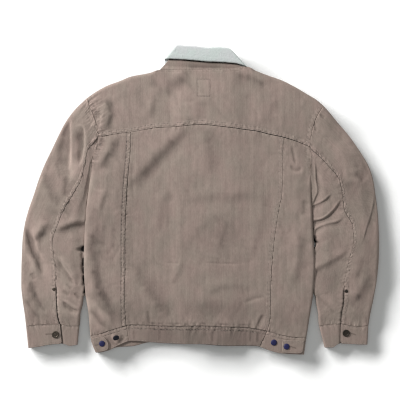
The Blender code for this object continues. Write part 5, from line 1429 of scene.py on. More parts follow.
def make_waistbands():
    def end_line(side):
        x0, x1 = LOW_SEAM[side], HEM_SEAM[side]
        return straight((x0, float(LINES("band_seam", x0))), (x1, float(LINES("back_hem", x1))))

    ends = {side: end_line(side) for side in ("left", "right")}
    patch = Patch(line("band_seam", LOW_SEAM["left"], LOW_SEAM["right"]), line("back_hem", HEM_SEAM["left"], HEM_SEAM["right"]), ends["left"], ends["right"])
    g = Grid(patch, 1.9, left=SEAM, right=SEAM, top=FELL, bottom=HEM)
    x, y = g.x, g.y
    low = band_inner(x) + 0.6
    relief = creases(x, y, "band") + 0.5 * rumple(x, y, 81)
    relief = relief + seam_shape(g.d["top"], g.s["top"], "cut", 0.5, 17, 82, (2.0, 8.8), 8.0)
    relief = relief - 0.30 * np.exp(-(((g.d["bottom"] - 3.0) / 0.8) ** 2)) + 0.35 * noise(g.s["bottom"] / 9, g.d["bottom"] / 40, 83) * np.exp(-g.d["bottom"] / 16)
    relief = relief + seam_shape(g.d["left"], g.s["left"], "plain", 0.3, 7, 84) + seam_shape(g.d["right"], g.s["right"], "plain", 0.3, 7, 85)
    out = settle(low + BAND_WALL + 0.5 + relief, low)
    out, low = hem_round(out, low, g.d["bottom"])
    g.pull_in(["left", "right", "top"])
    # Painted shade along the upper stitch row, broken up, and along the seam and the hem; a painted shadow under the
    # hem from about the middle to the right; lighter towards the left end.
    broken_shade = np.clip(0.8 + 1.1 * noise(x / 9, 0.5, 86), 0.15, 1.5)
    painted_shading = 1.0 * broken_shade * np.exp(-(((g.d["top"] - 8.8) / 1.5) ** 2)) + 0.3 * np.exp(-((g.d["top"] / 0.9) ** 2)) + 0.4 * np.exp(-((g.d["bottom"] / 1.4) ** 2))
    painted_shading = painted_shading + 1.5 * ease((x + 20) / 60) * np.exp(-((g.d["bottom"] / 1.3) ** 2)) + 0.5 * np.exp(-((g.d["top"] / 1.6) ** 2))
    painted_shading = painted_shading + ticks(g.d["top"], g.s["top"], (3.5, 6.2), 151, 0.32, 0.4) - 0.5 * (1 - ease((x + 145) / 45))
    thing = shell("waistband_cloth_back", stack3(g.plan, out), stack3(g.plan, low), [WAIST_CORDUROY_LESS_WORN_AND_SHADED] * 2, g.plan, relief, painted_shading, skip=2)
    cloth_piece("waistband_back")
    for d, seed in ((2.0, 91), (8.8, 92)):
        stitch_row(patch.parallel("top", d), ["waistband_cloth_back"], seed=seed)
    stitch_row(patch.parallel("bottom", 3.0), ["waistband_cloth_back"], seed=93)

    for side in ("left", "right"):
        levels = np.linspace(SIDE_END[side], -366.6 if side == "left" else -371.3, 40)
        fold = polyline(BODY(f"{side}_edge", levels), levels)
        name = f"waistband_cloth_{side}"
        upper = Patch(line("band_seam", LOW_SEAM[side], fold[0][0]), line("back_hem", HEM_SEAM[side], fold[-1][0]), ends[side], fold)
        radius = 5.0
        a = Grid(upper, 1.9, left=SEAM, right=round_lines(radius, 6, (1.6, 3.6)), top=FELL, bottom=HEM)
        x, y = a.x, a.y
        low = band_inner(x) + 0.3
        relief = creases(x, y, "band") + 0.6 * rumple(x, y, 86)
        relief = relief + seam_shape(a.d["top"], a.s["top"], "cut", 0.45, 12, 87, (2.0, 8.8), 8.0)
        relief = relief - 0.30 * np.exp(-(((a.d["bottom"] - 3.0) / 0.8) ** 2))
        relief = relief + seam_shape(a.d["left"], a.s["left"], "under", 0.3, 7, 88)
        out = settle(low + BAND_WALL + relief, low)
        out, low = hem_round(out, low, a.d["bottom"])
        level = np.full(x.shape, BAND_WALL + WRAP_RADIUS)
        k = roundness(a.d["right"], radius)
        out, low = level + (out - level) * k, level + (low - level) * k
        shift = a.inward("right") * (BAND_WALL * (1 - k))[..., None]
        a.pull_in(["left", "top"])
        # Painted shade along the stitch row, the seam and the hem.
        painted_shading = 0.45 * np.exp(-(((a.d["top"] - 8.8) / 1.1) ** 2)) + 0.5 * np.exp(-((a.d["top"] / 0.9) ** 2)) + 0.4 * np.exp(-((a.d["bottom"] / 1.4) ** 2))
        first = (stack3(a.plan, out), stack3(a.plan + shift, low), a.plan, relief, painted_shading)

        lap = LAP if side == "left" else 1.0 - LAP
        middle = straight((lap, float(LINES("band_seam", lap))), (lap, float(LINES("front_hem", lap))))
        lower = Patch(line("band_seam", fold[0][0], lap), line("front_hem", fold[-1][0], lap), fold, middle)
        b = Grid(lower, 4.0, left=round_lines(3.6, 6, (1.6, 3.6)), right=HEM, top=FELL, bottom=HEM, rows=a.inner_rows)
        x, y = b.x, b.y
        under, thick = front_height(x, np.full_like(x, -330.0), side, BAND_WALL)
        high, out2 = under + thick, under.copy()
        seams = 0.3 * np.exp(-(((b.d["bottom"] - 3.0) / 0.8) ** 2))
        out2 = out2 + seams
        top_, low_ = hem_round(high, out2, b.d["bottom"])
        high, out2 = top_, low_
        high, out2 = hem_round(high, out2, b.d["right"])
        level = np.full(x.shape, BAND_WALL + WRAP_RADIUS)
        k = roundness(b.d["left"], 3.6)
        out2, high = level + (out2 - level) * k, level + (high - level) * k
        shift = b.inward("left") * (BAND_WALL * (1 - k))[..., None]
        b.pull_in(["top"])
        relief2 = -seams
        second = (stack3(b.plan, out2), stack3(b.plan + shift, high), b.plan, relief2, np.zeros(x.shape))
        parts = [np.concatenate([p, q[:, 1:]], axis=1) for p, q in zip(first, second)]
        thing = shell(name, parts[0], parts[1], BAND_MATS, parts[2], parts[3], parts[4], skip=2)
        cloth_piece(f"waistband_{side}")
        for d, seed in ((2.0, 94), (8.8, 95)):
            stitch_row(upper.parallel("top", d), [name], seed=seed, end=4.0)
        stitch_row(upper.parallel("bottom", 3.0), [name], seed=96, end=4.0)


# ---------------------------------------------------------------- sleeves


def sleeve_wall(v):
    return SLEEVE_WALL + (BODY_WALL - SLEEVE_WALL) * ease(1 - v / 0.16) + (BAND_WALL + 0.3 - SLEEVE_WALL) * ease((v - 0.93) / 0.07)


def inner_line(side, levels):
    """The sleeve's inner fold: tucked under the body's edge where they touch."""
    out = 1 if side == "right" else -1
    x = SLEEVES[side]("inner", levels)
    edge = BODY(f"{side}_edge", levels)
    gap = np.maximum((x - edge) * out, 0.8)
    tuck = {"left": 3.2, "right": 3.0}[side] * (1 - ease((gap - 3.0) / 2.5)) * ease((UNDERARM - levels) / 18)
    x = edge + out * (gap - tuck - np.minimum(gap, 2.4) * (tuck > 0) * ease((UNDERARM - levels) / 18))
    if side == "right":
        x = x + 8.0 * np.exp(-(((levels + 107) / 8.5) ** 2))
    wobble = 0.9 * noise(levels / 17, 0.4, 101) * ease((UNDERARM - levels) / 40)
    return x + out * wobble


def sleeve_line(side, name, start, count=260):
    end = float(CUFFS[side]("seam_y", 0.0 if name == "outer" else SLIT_STEP[side] if name == "back_seam" else 1.0))
    levels = np.linspace(start, end, count)
    x = inner_line(side, levels) if name == "inner" else SLEEVES[side](name, levels)
    return polyline(x, levels)


def cuff_line(side, which, start, end):
    at = np.linspace(start, end, 120)
    return polyline(CUFFS[side](f"{which}_x", at), CUFFS[side](f"{which}_y", at))


# Small deep hollows between the left sleeve and the body's edge
PITS = {
    "left": [(-289, 146, 9, 20, 2.6), (-287, 114, 6, 24, 1.6), (-288, -119, 7, 3.5, 4.5), (-283, -132, 3.5, 8, 4.0), (-282, -162, 3, 7, 3.5), (-280, -202, 3, 5, 2.5)],
    "right": [(274, -90, 6, 4, 3.0), (276, -128, 3, 6, 2.0)],
}


def pits(x, y, side):
    h = np.zeros(x.shape)
    for px, py, rx, ry, depth in PITS[side]:
        h = h - depth * np.exp(-(((x - px) / rx) ** 2) - ((y - py) / ry) ** 2)
    return h


SLIT_FROM = {"left": 0.79, "right": 0.80}

# The hollows between the sleeves' inner folds and the body, sunk and darkened
# with painted shadow: where along the edge, half length, half width
SHADOWED_HOLLOWS = {
    "left": [(35, 22, 4.0), (-10, 12, 3.0), (-117, 7.5, 9.5), (-149, 11, 6.0), (-169, 9, 4.5), (-192, 13, 4.5), (-214, 10, 1.8)],
    "right": [(16, 16, 1.4), (-20, 20, 2.4), (-60, 26, 3.2), (-93, 10, 5.5), (-140, 25, 1.0), (-190, 26, 0.7)],
}


# How much of each hollow lies at a place: it sinks the cloth, and marks where painted shadow goes.
def hollow(y, d, side):
    share = np.zeros(y.shape)
    for middle, length, width in SHADOWED_HOLLOWS[side]:
        start = {"left": 3.0, "right": 1.6}[side] + 1.2 * noise(y / 9, 0.5, 105)
        share = np.maximum(share, np.exp(-(((y - middle) / length) ** 4) - (np.maximum(d - start, 0) / width) ** 2))
    return share


def make_sleeve(side):
    slit = SLIT_STEP[side]
    edge = f"{side}_edge"
    seam = sleeve_line(side, "back_seam", SEAM_START[side])
    outer = sleeve_line(side, "outer", TIP[side])
    inner = sleeve_line(side, "inner", UNDERARM)
    high = body_edge(edge, TIP[side], SEAM_START[side])
    low = body_edge(edge, SEAM_START[side], UNDERARM)
    seam[0], outer[0], inner[0] = high[-1], high[0], low[-1]
    cuff_high, cuff_low = cuff_line(side, "seam", 0.0, slit), cuff_line(side, "seam", slit, 1.0)
    seam[-1], outer[-1], inner[-1] = cuff_high[-1], cuff_high[0], cuff_low[-1]
    out_r, in_r = 11.0, {"left": 7.5, "right": 5.5}[side]

    def base(g, fold_side, armhole_loft):
        v = g.v
        d = g.d[fold_side]
        loft = (LOFT + 3.4 * ease(v / 0.12)) * ease(d / 42) * ease((1 - v) / 0.16)
        if armhole_loft == 0:
            loft = loft * ease(v / 0.10)
        return sleeve_wall(v) + LAYER_GAP + 0.7 * (1 - ease(d / 20)) + loft

    strong = side == "left"
    # upper layer of the top sleeve: from the back seam out to the fold
    patch = Patch(high[::-1], cuff_high[::-1], seam, outer)
    a = Grid(patch, SLEEVE_STEP, left=FELL, right=round_lines(out_r, 8, (2, 4.5)), top=SEAM, bottom=SEAM)
    x, y = a.x, a.y
    zin = base(a, "right", 1)
    relief = creases(x, y, side) + rumple(x, y, 111 if strong else 121, 1.5) + pits(x, y, side)
    lower = (0.42 if strong else 0.15) * ease((a.v - 0.46) / 0.06)
    relief = relief + (1 - lower) * seam_shape(a.d["left"], a.s["left"], "fell", 0.50, 9, 131, (2.2, 9.0), 6.0, 1.0 if strong else 0.8)
    relief = relief + seam_shape(a.d["top"], a.s["top"], "plain" if strong else "under", 0.9 if strong else 0.45, 20 if strong else 11, 132, (), 6.0, 1.0, 0.25 if strong else None)
    relief = relief + seam_shape(a.d["bottom"], a.s["bottom"], "under", 0.38, 13, 133, (), 7.0)
    relief = relief * (0.35 + 0.65 * ease(a.d["right"] / 9))
    out = zin + sleeve_wall(a.v) + relief
    zin = sink(zin, sleeve_wall(a.v) + LAYER_GAP, relief, 2.0)
    out = settle(out, zin)
    level = sleeve_wall(a.v) + WRAP_RADIUS
    k = roundness(a.d["right"], out_r)
    out, zin = level + (out - level) * k, level + (zin - level) * k
    shift = a.inward("right") * (sleeve_wall(a.v) * 0.8 * (1 - k))[..., None]
    a.pull_in(["left", "top", "bottom"])
    open_slit = ease((a.v - SLIT_FROM[side]) / 0.02)
    # Painted light and shade in the stitch marks; painted shade along the back seam, strongest on the upper half of the
    # sleeve, and along the slit where it opens; on the left sleeve, marks along the armhole and painted light along it;
    # and the patches.
    painted_shading = ticks(a.d["left"], a.s["left"], (2.6, 5.6, 8.6), 134, 1.0 if strong else 0.5, 1.1 if strong else 0.9) * (1 - 0.7 * open_slit) * (1 - 0.8 * lower)
    crisp = 1 - 0.75 * ease((a.v - 0.46) / 0.06)
    painted_shading = painted_shading + (0.2 + (2.0 if strong else 1.3) * crisp) * np.exp(-((a.d["left"] / 0.9) ** 2)) + 0.4 * np.exp(-((a.d["bottom"] / 1.0) ** 2))
    painted_shading = painted_shading + ticks(a.d["bottom"], a.s["bottom"], (2.5,), 138, 0.3, 0.6)
    if strong:
        painted_shading = painted_shading + ticks(a.d["top"], a.s["top"], (2.5, 8.0, 14.0), 139, 0.7, 0.7, 2.4)
        painted_shading = painted_shading - 0.6 * np.exp(-((a.d["top"] / 1.6) ** 2))
        painted_shading = painted_shading + crisp * ease((a.v - 0.04) / 0.06) * ticks(a.d["left"], a.s["left"], (3.4, 8.8), 144, 0.8, 0.3, 1.3)
    painted_shading = painted_shading + paint_light_and_shade(x, y, side) + 1.4 * open_slit * np.exp(-((a.d["left"] / 1.1) ** 2))
    cloth = np.stack([a.d["left"], -a.s["left"]], axis=-1)
    first = (stack3(a.plan, out), stack3(a.plan + shift, zin), cloth, relief, painted_shading)

    # its lower layer, from the outer fold to the inner one, under the arm
    patch2 = Patch(join(high, low), join(cuff_high, cuff_low), outer, inner)
    b = Grid(patch2, PLAIN_STEP, left=round_lines(5.4, 6, (2, 5)), right=round_lines(5.4, 5, (2,)), top=SEAM, bottom=SEAM, rows=a.inner_rows)
    wall = sleeve_wall(b.v)
    k = roundness(b.d["left"], 5.4)
    level = wall + WRAP_RADIUS
    out2, zin2 = level + (0 - level) * k, level + (wall - level) * k
    share = ease(b.v / 0.03)
    m = 1 - share * (1 - roundness(b.d["right"], 5.4))
    out2 = wall + 0.05 + (out2 - wall - 0.05) * m
    shift = b.inward("left") * (wall * 0.8 * (1 - k))[..., None] + b.inward("right") * (1.2 * (1 - m))[..., None]
    b.pull_in(["top", "bottom"])
    wide = patch.width(b.v)
    cloth = np.stack([wide + b.d["left"], -b.s["left"]], axis=-1)
    none = np.zeros(b.x.shape)
    second = (stack3(b.plan, out2), stack3(b.plan + shift, zin2), cloth, none, none)
    parts = [np.concatenate([p, q[:, 1:]], axis=1) for p, q in zip(first, second)]
    name = f"top_sleeve_cloth_{side}"
    thing = shell(name, *parts[:2], SLEEVE_MATS, *parts[2:4], parts[4])
    cloth_piece(f"sleeve_top_{side}")
    stitch_row(patch.parallel("left", 9.0), [name], seed=12)
    stitch_row(patch.parallel("left", 2.2), [name], seed=13)

    # the under sleeve's upper layer: from the back seam to the inner fold
    under = seam.copy()
    t = np.linspace(0, 1, len(seam))
    away = -1 if side == "right" else 1
    under[:, 0] += away * 1.3 * ease((t - SLIT_FROM[side]) / 0.015)
    cuff_under = cuff_low.copy()
    cuff_under[0] = under[-1]
    patch = Patch(low, cuff_under, under, inner)
    c = Grid(patch, SLEEVE_STEP, left=SEAM, right=round_lines(in_r, 7, (2, 4.5)), top=SEAM, bottom=SEAM)
    x, y = c.x, c.y
    zin = base(c, "right", 0)
    relief = creases(x, y, side) + rumple(x, y, 111 if strong else 121, 1.5) + pits(x, y, side)
    relief = relief + seam_shape(c.d["left"], c.s["left"], "under", 0.4, 10, 141)
    relief = relief + seam_shape(c.d["top"], c.s["top"], "under", 0.9 if strong else 0.45, 15 if strong else 10, 142, (), 7.0)
    relief = relief + seam_shape(c.d["bottom"], c.s["bottom"], "under", 0.35, 12, 143, (), 7.0)
    open_here = ease((c.v - SLIT_FROM[side]) / 0.02)
    relief = relief - 2.0 * open_here * np.exp(-((c.d["left"] / 3.5) ** 2))
    relief = relief * (0.35 + 0.65 * ease(c.d["right"] / 9))
    # The hollows sink the cloth and, below, take painted shadow.
    dark = hollow(y, c.d["right"], side)
    relief = relief - 3.0 * dark
    out = zin + sleeve_wall(c.v) + relief
    zin = sink(zin, sleeve_wall(c.v) + LAYER_GAP, relief, 2.0)
    out = settle(out, zin)
    share = ease(c.v / 0.03)
    m = 1 - share * (1 - roundness(c.d["right"], in_r))
    level = sleeve_wall(c.v) + 0.45
    level = level + 0.8 * held(y, side) * np.maximum(out - level, 0)
    out, zin = level + (out - level) * m, level + (zin - level) * m
    shift = c.inward("right") * (1.2 * (1 - m))[..., None]
    c.pull_in(["left", "top", "bottom"])
    # Painted shade along the seams and the inner fold; painted shadow in the hollows and along the open slit; the
    # patches.
    painted_shading = (0.3 + 1.1 * (1 - ease((c.v - 0.40) / 0.06))) * np.exp(-((c.d["left"] / 0.9) ** 2)) + 0.4 * np.exp(-((c.d["bottom"] / 1.0) ** 2)) + 0.35 * np.exp(-((c.d["right"] / 4.0) ** 2))
    painted_shading = painted_shading + (4.0 if strong else 3.2) * dark + 1.8 * open_here * np.exp(-((c.d["left"] / (1.1 + 0.6 * ease((c.v - 0.9) / 0.1))) ** 2)) + paint_light_and_shade(x, y, side)
    cloth = np.stack([-c.d["left"], -c.s["left"]], axis=-1)
    name = f"under_sleeve_cloth_{side}"
    thing = shell(name, stack3(c.plan, out), stack3(c.plan + shift, zin), SLEEVE_MATS, cloth, relief, painted_shading)
    cloth_piece(f"sleeve_under_{side}")
    return open_slit


def make_cuff(side):
    slit = SLIT_STEP[side]

    def across(at, push=0.0):
        x0, y0, x1, y1 = (float(CUFFS[side](n, at)) for n in CUFF_NAMES.split()[1:])
        return straight((x0 + push, y0), (x1 + push, y1))

    away = 1 if side == "left" else -1
    name = f"cuff_cloth_{side}"
    radius = 4.6
    wrap_lines = round_lines(radius, 6, (1.6, 3.4))
    # the lap's hem turns up round its corner
    hem = cuff_line(side, "hem", slit, 0)
    lap = Patch(cuff_line(side, "seam", slit, 0), hem, across(slit), across(0))
    a = Grid(lap, 1.8, left=HEM, right=wrap_lines, top=SEAM, bottom=HEM)
    x, y = a.x, a.y
    low = np.full(x.shape, BAND_WALL + 2 * WRAP_RADIUS) + 0.4
    relief = 0.45 * rumple(x, y, 151) + seam_shape(a.d["top"], a.s["top"], "cut", 0.28, 12, 152, (2.4,), 7.0)
    relief = relief - 0.28 * np.exp(-(((a.d["bottom"] - 3.0) / 0.8) ** 2)) - 0.28 * np.exp(-(((a.d["left"] - 3.0) / 0.8) ** 2))
    relief = relief + 0.45 * noise(a.s["bottom"] / 8, a.d["bottom"] / 30, 153) * np.exp(-a.d["bottom"] / 18)
    out = settle(low + BAND_WALL + 0.4 + relief, low)
    corner = np.hypot(np.clip(7.0 - a.d["left"], 0, 7), np.clip(7.0 - a.d["bottom"], 0, 7))
    edge = np.minimum(a.d["left"], a.d["bottom"])
    out, low = hem_round(out, low, edge)
    level = np.full(x.shape, BAND_WALL + WRAP_RADIUS)
    k = roundness(a.d["right"], radius)
    out, low = level + (out - level) * k, level + (low - level) * k
    shift = a.inward("right") * (BAND_WALL * (1 - k))[..., None]
    a.pull_in(["left", "top"])
    # the rounded corner: plan points beyond the arc come back onto it
    over = (a.d["left"] < 7.0) & (a.d["bottom"] < 7.0) & (corner > 0)
    grow = np.maximum(1 - a.d["left"] / 7.0, 1 - a.d["bottom"] / 7.0).clip(0, 1)
    target = np.where(corner > 1e-6, 7.0 * grow / np.maximum(corner, 1e-6), 1.0)
    move_l = np.clip(7.0 - a.d["left"], 0, 7) * (1 - target)
    move_b = np.clip(7.0 - a.d["bottom"], 0, 7) * (1 - target)
    nudge = a.inward("left") * move_l[..., None] + a.inward("bottom") * move_b[..., None]
    a.plan = a.plan + nudge * over[..., None]
    # Painted shade along the cuff seam and the hem's edge; the left cuff lighter overall, the right one darker.
    painted_shading = 0.5 * np.exp(-((a.d["top"] / 0.9) ** 2)) + 0.35 * np.exp(-((edge / 1.4) ** 2)) + (-0.22 if side == "left" else 0.10)
    first = (stack3(a.plan, out), stack3(a.plan + shift, low), a.plan, relief, painted_shading)

    rims = [join(cuff_line(side, n, 0, slit), cuff_line(side, n, slit, 1)) for n in ("seam", "hem")]
    below = Patch(*rims, across(0), across(1))
    b = Grid(below, 3.0, left=round_lines(3.6, 6, (1.6, 3.4)), right=round_lines(3.6, 6, (1.6, 3.4)), top=SEAM, bottom=HEM, rows=a.inner_rows)
    high, out2 = np.full(b.x.shape, BAND_WALL), np.zeros(b.x.shape)
    high, out2 = hem_round(high, out2, b.d["bottom"])
    shift = np.zeros(b.plan.shape)
    for fold_side in ("left", "right"):
        level = np.full(b.x.shape, BAND_WALL + WRAP_RADIUS)
        k = roundness(b.d[fold_side], 3.6)
        out2, high = level + (out2 - level) * k, level + (high - level) * k
        shift = shift + b.inward(fold_side) * (BAND_WALL * (1 - k))[..., None]
    b.pull_in(["top"])
    none = np.zeros(b.x.shape)
    second = (stack3(b.plan, out2), stack3(b.plan + shift, high), b.plan, none, none)

    tail = Patch(cuff_line(side, "seam", 1, slit), cuff_line(side, "hem", 1, slit), across(1), across(slit, away * 0.5))
    c = Grid(tail, 1.8, left=wrap_lines, right=HEM, top=SEAM, bottom=HEM, rows=a.inner_rows)
    x, y = c.x, c.y
    low = np.full(x.shape, BAND_WALL + 2 * WRAP_RADIUS)
    relief = 0.45 * rumple(x, y, 155) + seam_shape(c.d["top"], c.s["top"], "cut", 0.28, 12, 156, (2.4,), 7.0)
    relief = relief - 0.28 * np.exp(-(((c.d["bottom"] - 3.0) / 0.8) ** 2))
    relief = relief - 1.3 * np.exp(-((c.d["right"] / 4.0) ** 2))
    out = settle(low + BAND_WALL + relief, low, 1.2)
    out, low = hem_round(out, low, c.d["bottom"])
    level = np.full(x.shape, BAND_WALL + WRAP_RADIUS)
    k = roundness(c.d["left"], radius)
    out, low = level + (out - level) * k, level + (low - level) * k
    shift = c.inward("left") * (BAND_WALL * (1 - k))[..., None]
    c.pull_in(["right", "top"])
    # Painted shade along the cuff seam, and a painted shadow along the slit's edge under the lap.
    painted_shading = 0.5 * np.exp(-((c.d["top"] / 0.9) ** 2)) + 2.0 * np.exp(-((c.d["right"] / 2.0) ** 2))
    third =(stack3(c.plan, out), stack3(c.plan + shift, low), c.plan, relief, painted_shading)
    parts = [np.concatenate([p, q[:, 1:], r[:, 1:]], axis=1) for p, q, r in zip(first, second, third)]
    thing = shell(name, parts[0], parts[1], BAND_MATS, parts[2], parts[3], parts[4], skip=2)
    cloth_piece(f"cuff_{side}")
    stitch_row(lap.parallel("top", 2.4), [name], seed=161)
    stitch_row(lap.parallel("bottom", 3.0), [name], seed=162, start=6)
    stitch_row(lap.parallel("left", 3.0), [name], seed=163, end=6)
    stitch_row(tail.parallel("top", 2.4), [name], seed=164)
    stitch_row(tail.parallel("bottom", 3.0), [name], seed=165)


# ---------------------------------------------------------------- collar


def collar_line(which, start=0.0, end=1.0):
    at = np.linspace(start, end, 160)
    return polyline(COLLAR(f"{which}_x", at), COLLAR(f"{which}_y", at))


def pile(x, y, seed):
    """Sherpa's small curls."""
    h = 0.55 * noise(x / 3.6, y / 3.6, seed) + 0.35 * noise(x / 2.1 + 3, y / 2.1, seed + 1) + 0.30 * noise(x / 11, y / 9, seed + 2)
    return 0.26 * h


def make_collar():
    fold, edge = collar_line("fold"), collar_line("edge")
    ends = {"left": straight(fold[0], edge[0]), "right": straight(fold[-1], edge[-1])}
    fall_under = LEAF_RISE + STAND_WALL + 0.6
    hollow = (fall_under - SHERPA_WALL) / 2
    crest_r = 4.5
    leaf = {}
    for side, k in (("left", 0), ("right", -1)):
        far = LEAVES[side]
        leaf[side] = Patch(straight(far["fold"], fold[k]), straight(far["point"], edge[k]), straight(far["fold"], far["point"]), ends[side])
    across = Patch(fold, edge, ends["left"], ends["right"])
    turn = round_lines(7.5, 7, (1.5,))
    b = Grid(across, 1.5, left=turn, right=turn, top=round_lines(crest_r, 6, (1.2,)), bottom=round_lines(3.4, 6, (1.0,)))
    rows = b.inner_rows
    a = Grid(leaf["left"], 3.0, left=PLAIN, right=turn, top=round_lines(crest_r, 6, (1.2,)), bottom=round_lines(3.4, 6, (1.0,)), rows=rows)
    c_patch = Patch(leaf["right"].side["top"][0][::-1], leaf["right"].side["bottom"][0][::-1], ends["right"], straight(LEAVES["right"]["fold"], LEAVES["right"]["point"]))
    c = Grid(c_patch, 3.0, left=turn, right=PLAIN, top=round_lines(crest_r, 6, (1.2,)), bottom=round_lines(3.4, 6, (1.0,)), rows=rows)
    middle = SHERPA_WALL + hollow
    parts = []
    for g, upper, turns in ((a, False, ("right",)), (b, True, ("left", "right")), (c, False, ("left",))):
        x, y = g.x, g.y
        if upper:
            swell = 0.5 * ease(g.d["top"] / 14) * ease(g.d["bottom"] / 10)
            low = np.full(x.shape, fall_under)
            bumps = pile(x, y, 171)
            out = low + SHERPA_WALL + swell + bumps
        else:
            low = np.full(x.shape, SHERPA_WALL)
            bumps = 0.6 * pile(x, y, 175)
            out = np.maximum(0.0 - bumps * 0 + np.clip(bumps, 0, 1), 0.0)
        # the crest, where the collar folds over, then its free edge
        level = fall_under - 0.05 if upper else SHERPA_WALL + 0.05
        k = roundness(g.d["top"], crest_r)
        out = level + (out - level) * k
        k = 0.22 + 0.78 * roundness(g.d["bottom"], 3.4)
        mid = (out + low) / 2
        out, low = mid + (out - mid) * k, mid + (low - mid) * np.where(upper, 0.55 + 0.45 * roundness(g.d["bottom"], 3.4), k)
        shift = g.inward("top") * (1.2 * (1 - roundness(g.d["top"], crest_r)))[..., None]
        for side in turns:
            k = roundness(g.d[side], 7.5)
            out, low = middle + (out - middle) * k, middle + (low - middle) * k
            shift = shift + g.inward(side) * (SHERPA_WALL * 0.7 * (1 - k))[..., None]
        ripple = g.plan.copy()
        ripple[..., 1] += 0.45 * noise(x / 4.2, y / 9, 178) * np.exp(-g.d["bottom"] / 4) + 0.5 * noise(x / 6, y / 9, 179) * np.exp(-g.d["top"] / 4)
        parts.append((stack3(ripple, out), stack3(ripple + shift, low), g.plan, bumps, np.zeros(x.shape)))
    joined = [np.concatenate([p, q[:, 1:], r[:, 1:]], axis=1) for p, q, r in zip(*parts)]
    thing = shell("collar_sherpa", joined[0], joined[1], [SHERPA, SHERPA], joined[2], joined[3], joined[4], skip=2)
    cloth_piece("collar_fall")

    bottom = line("top", NECK["left"], NECK["right"])
    top = straight((-53.0, 361.0), (66.0, 351.0))
    left = soften([(-96, 311.5), (-84, 326), (-75.5, 335.5), (-64, 349), (-53, 361)], 2.0, 1)
    right = soften([(113, 319), (97, 320.5), (90, 329), (77, 340), (66, 351)], 2.0, 1)
    left[0], right[0] = bottom[0], bottom[-1]
    patch = Patch(bottom, top, left, right)
    g = Grid(patch, 1.6, left=HEM, right=HEM, top=FELL, bottom=PLAIN)
    x, y = g.x, g.y
    start = LEAF_RISE + NECK_WALL + LAYER_GAP + 0.2
    low = start + (LEAF_RISE + 0.2 - start) * ease(g.v / 0.22)
    relief = creases(x, y, "stand") + 0.35 * rumple(x, y, 181)
    relief = relief + seam_shape(g.d["top"], g.s["top"], "plain", 0.3, 7, 182, (2.2,))
    # it falls away under the collar's free edge
    free = np.interp(x, COLLAR("edge_x", np.linspace(0, 1, 50)), COLLAR("edge_y", np.linspace(0, 1, 50)))
    under_fall = ease((y - free + 3.2) / 3.4)
    relief = relief * (1 - under_fall) - 3.0 * under_fall
    out = settle(low + STAND_WALL + np.minimum(relief, 0.25 + 0 * x), low, 1.5)
    out, low = hem_round(out, low, np.minimum(g.d["left"], g.d["right"]), 1.6)
    g.pull_in(["top"])
    # Painted shade along the seam, a painted shadow under the collar's free edge, and painted shade over the whole
    # stand, deeper towards the right.
    painted_shading = 0.5 * np.exp(-((g.d["top"] / 0.9) ** 2)) + 2.2 * under_fall + 0.35 * np.exp(-(((y - free) / 4.0) ** 2))
    painted_shading = painted_shading + 0.2 + 0.45 * ease((x + 62) / 40)
    thing = shell("collar_stand_cloth", stack3(g.plan, out), stack3(g.plan, low), BAND_MATS, g.plan, relief, painted_shading, skip=2)
    cloth_piece("collar_stand")
    stitch_row(patch.parallel("top", 2.2), ["collar_stand_cloth"], seed=183)


# ---------------------------------------------------------------- trims


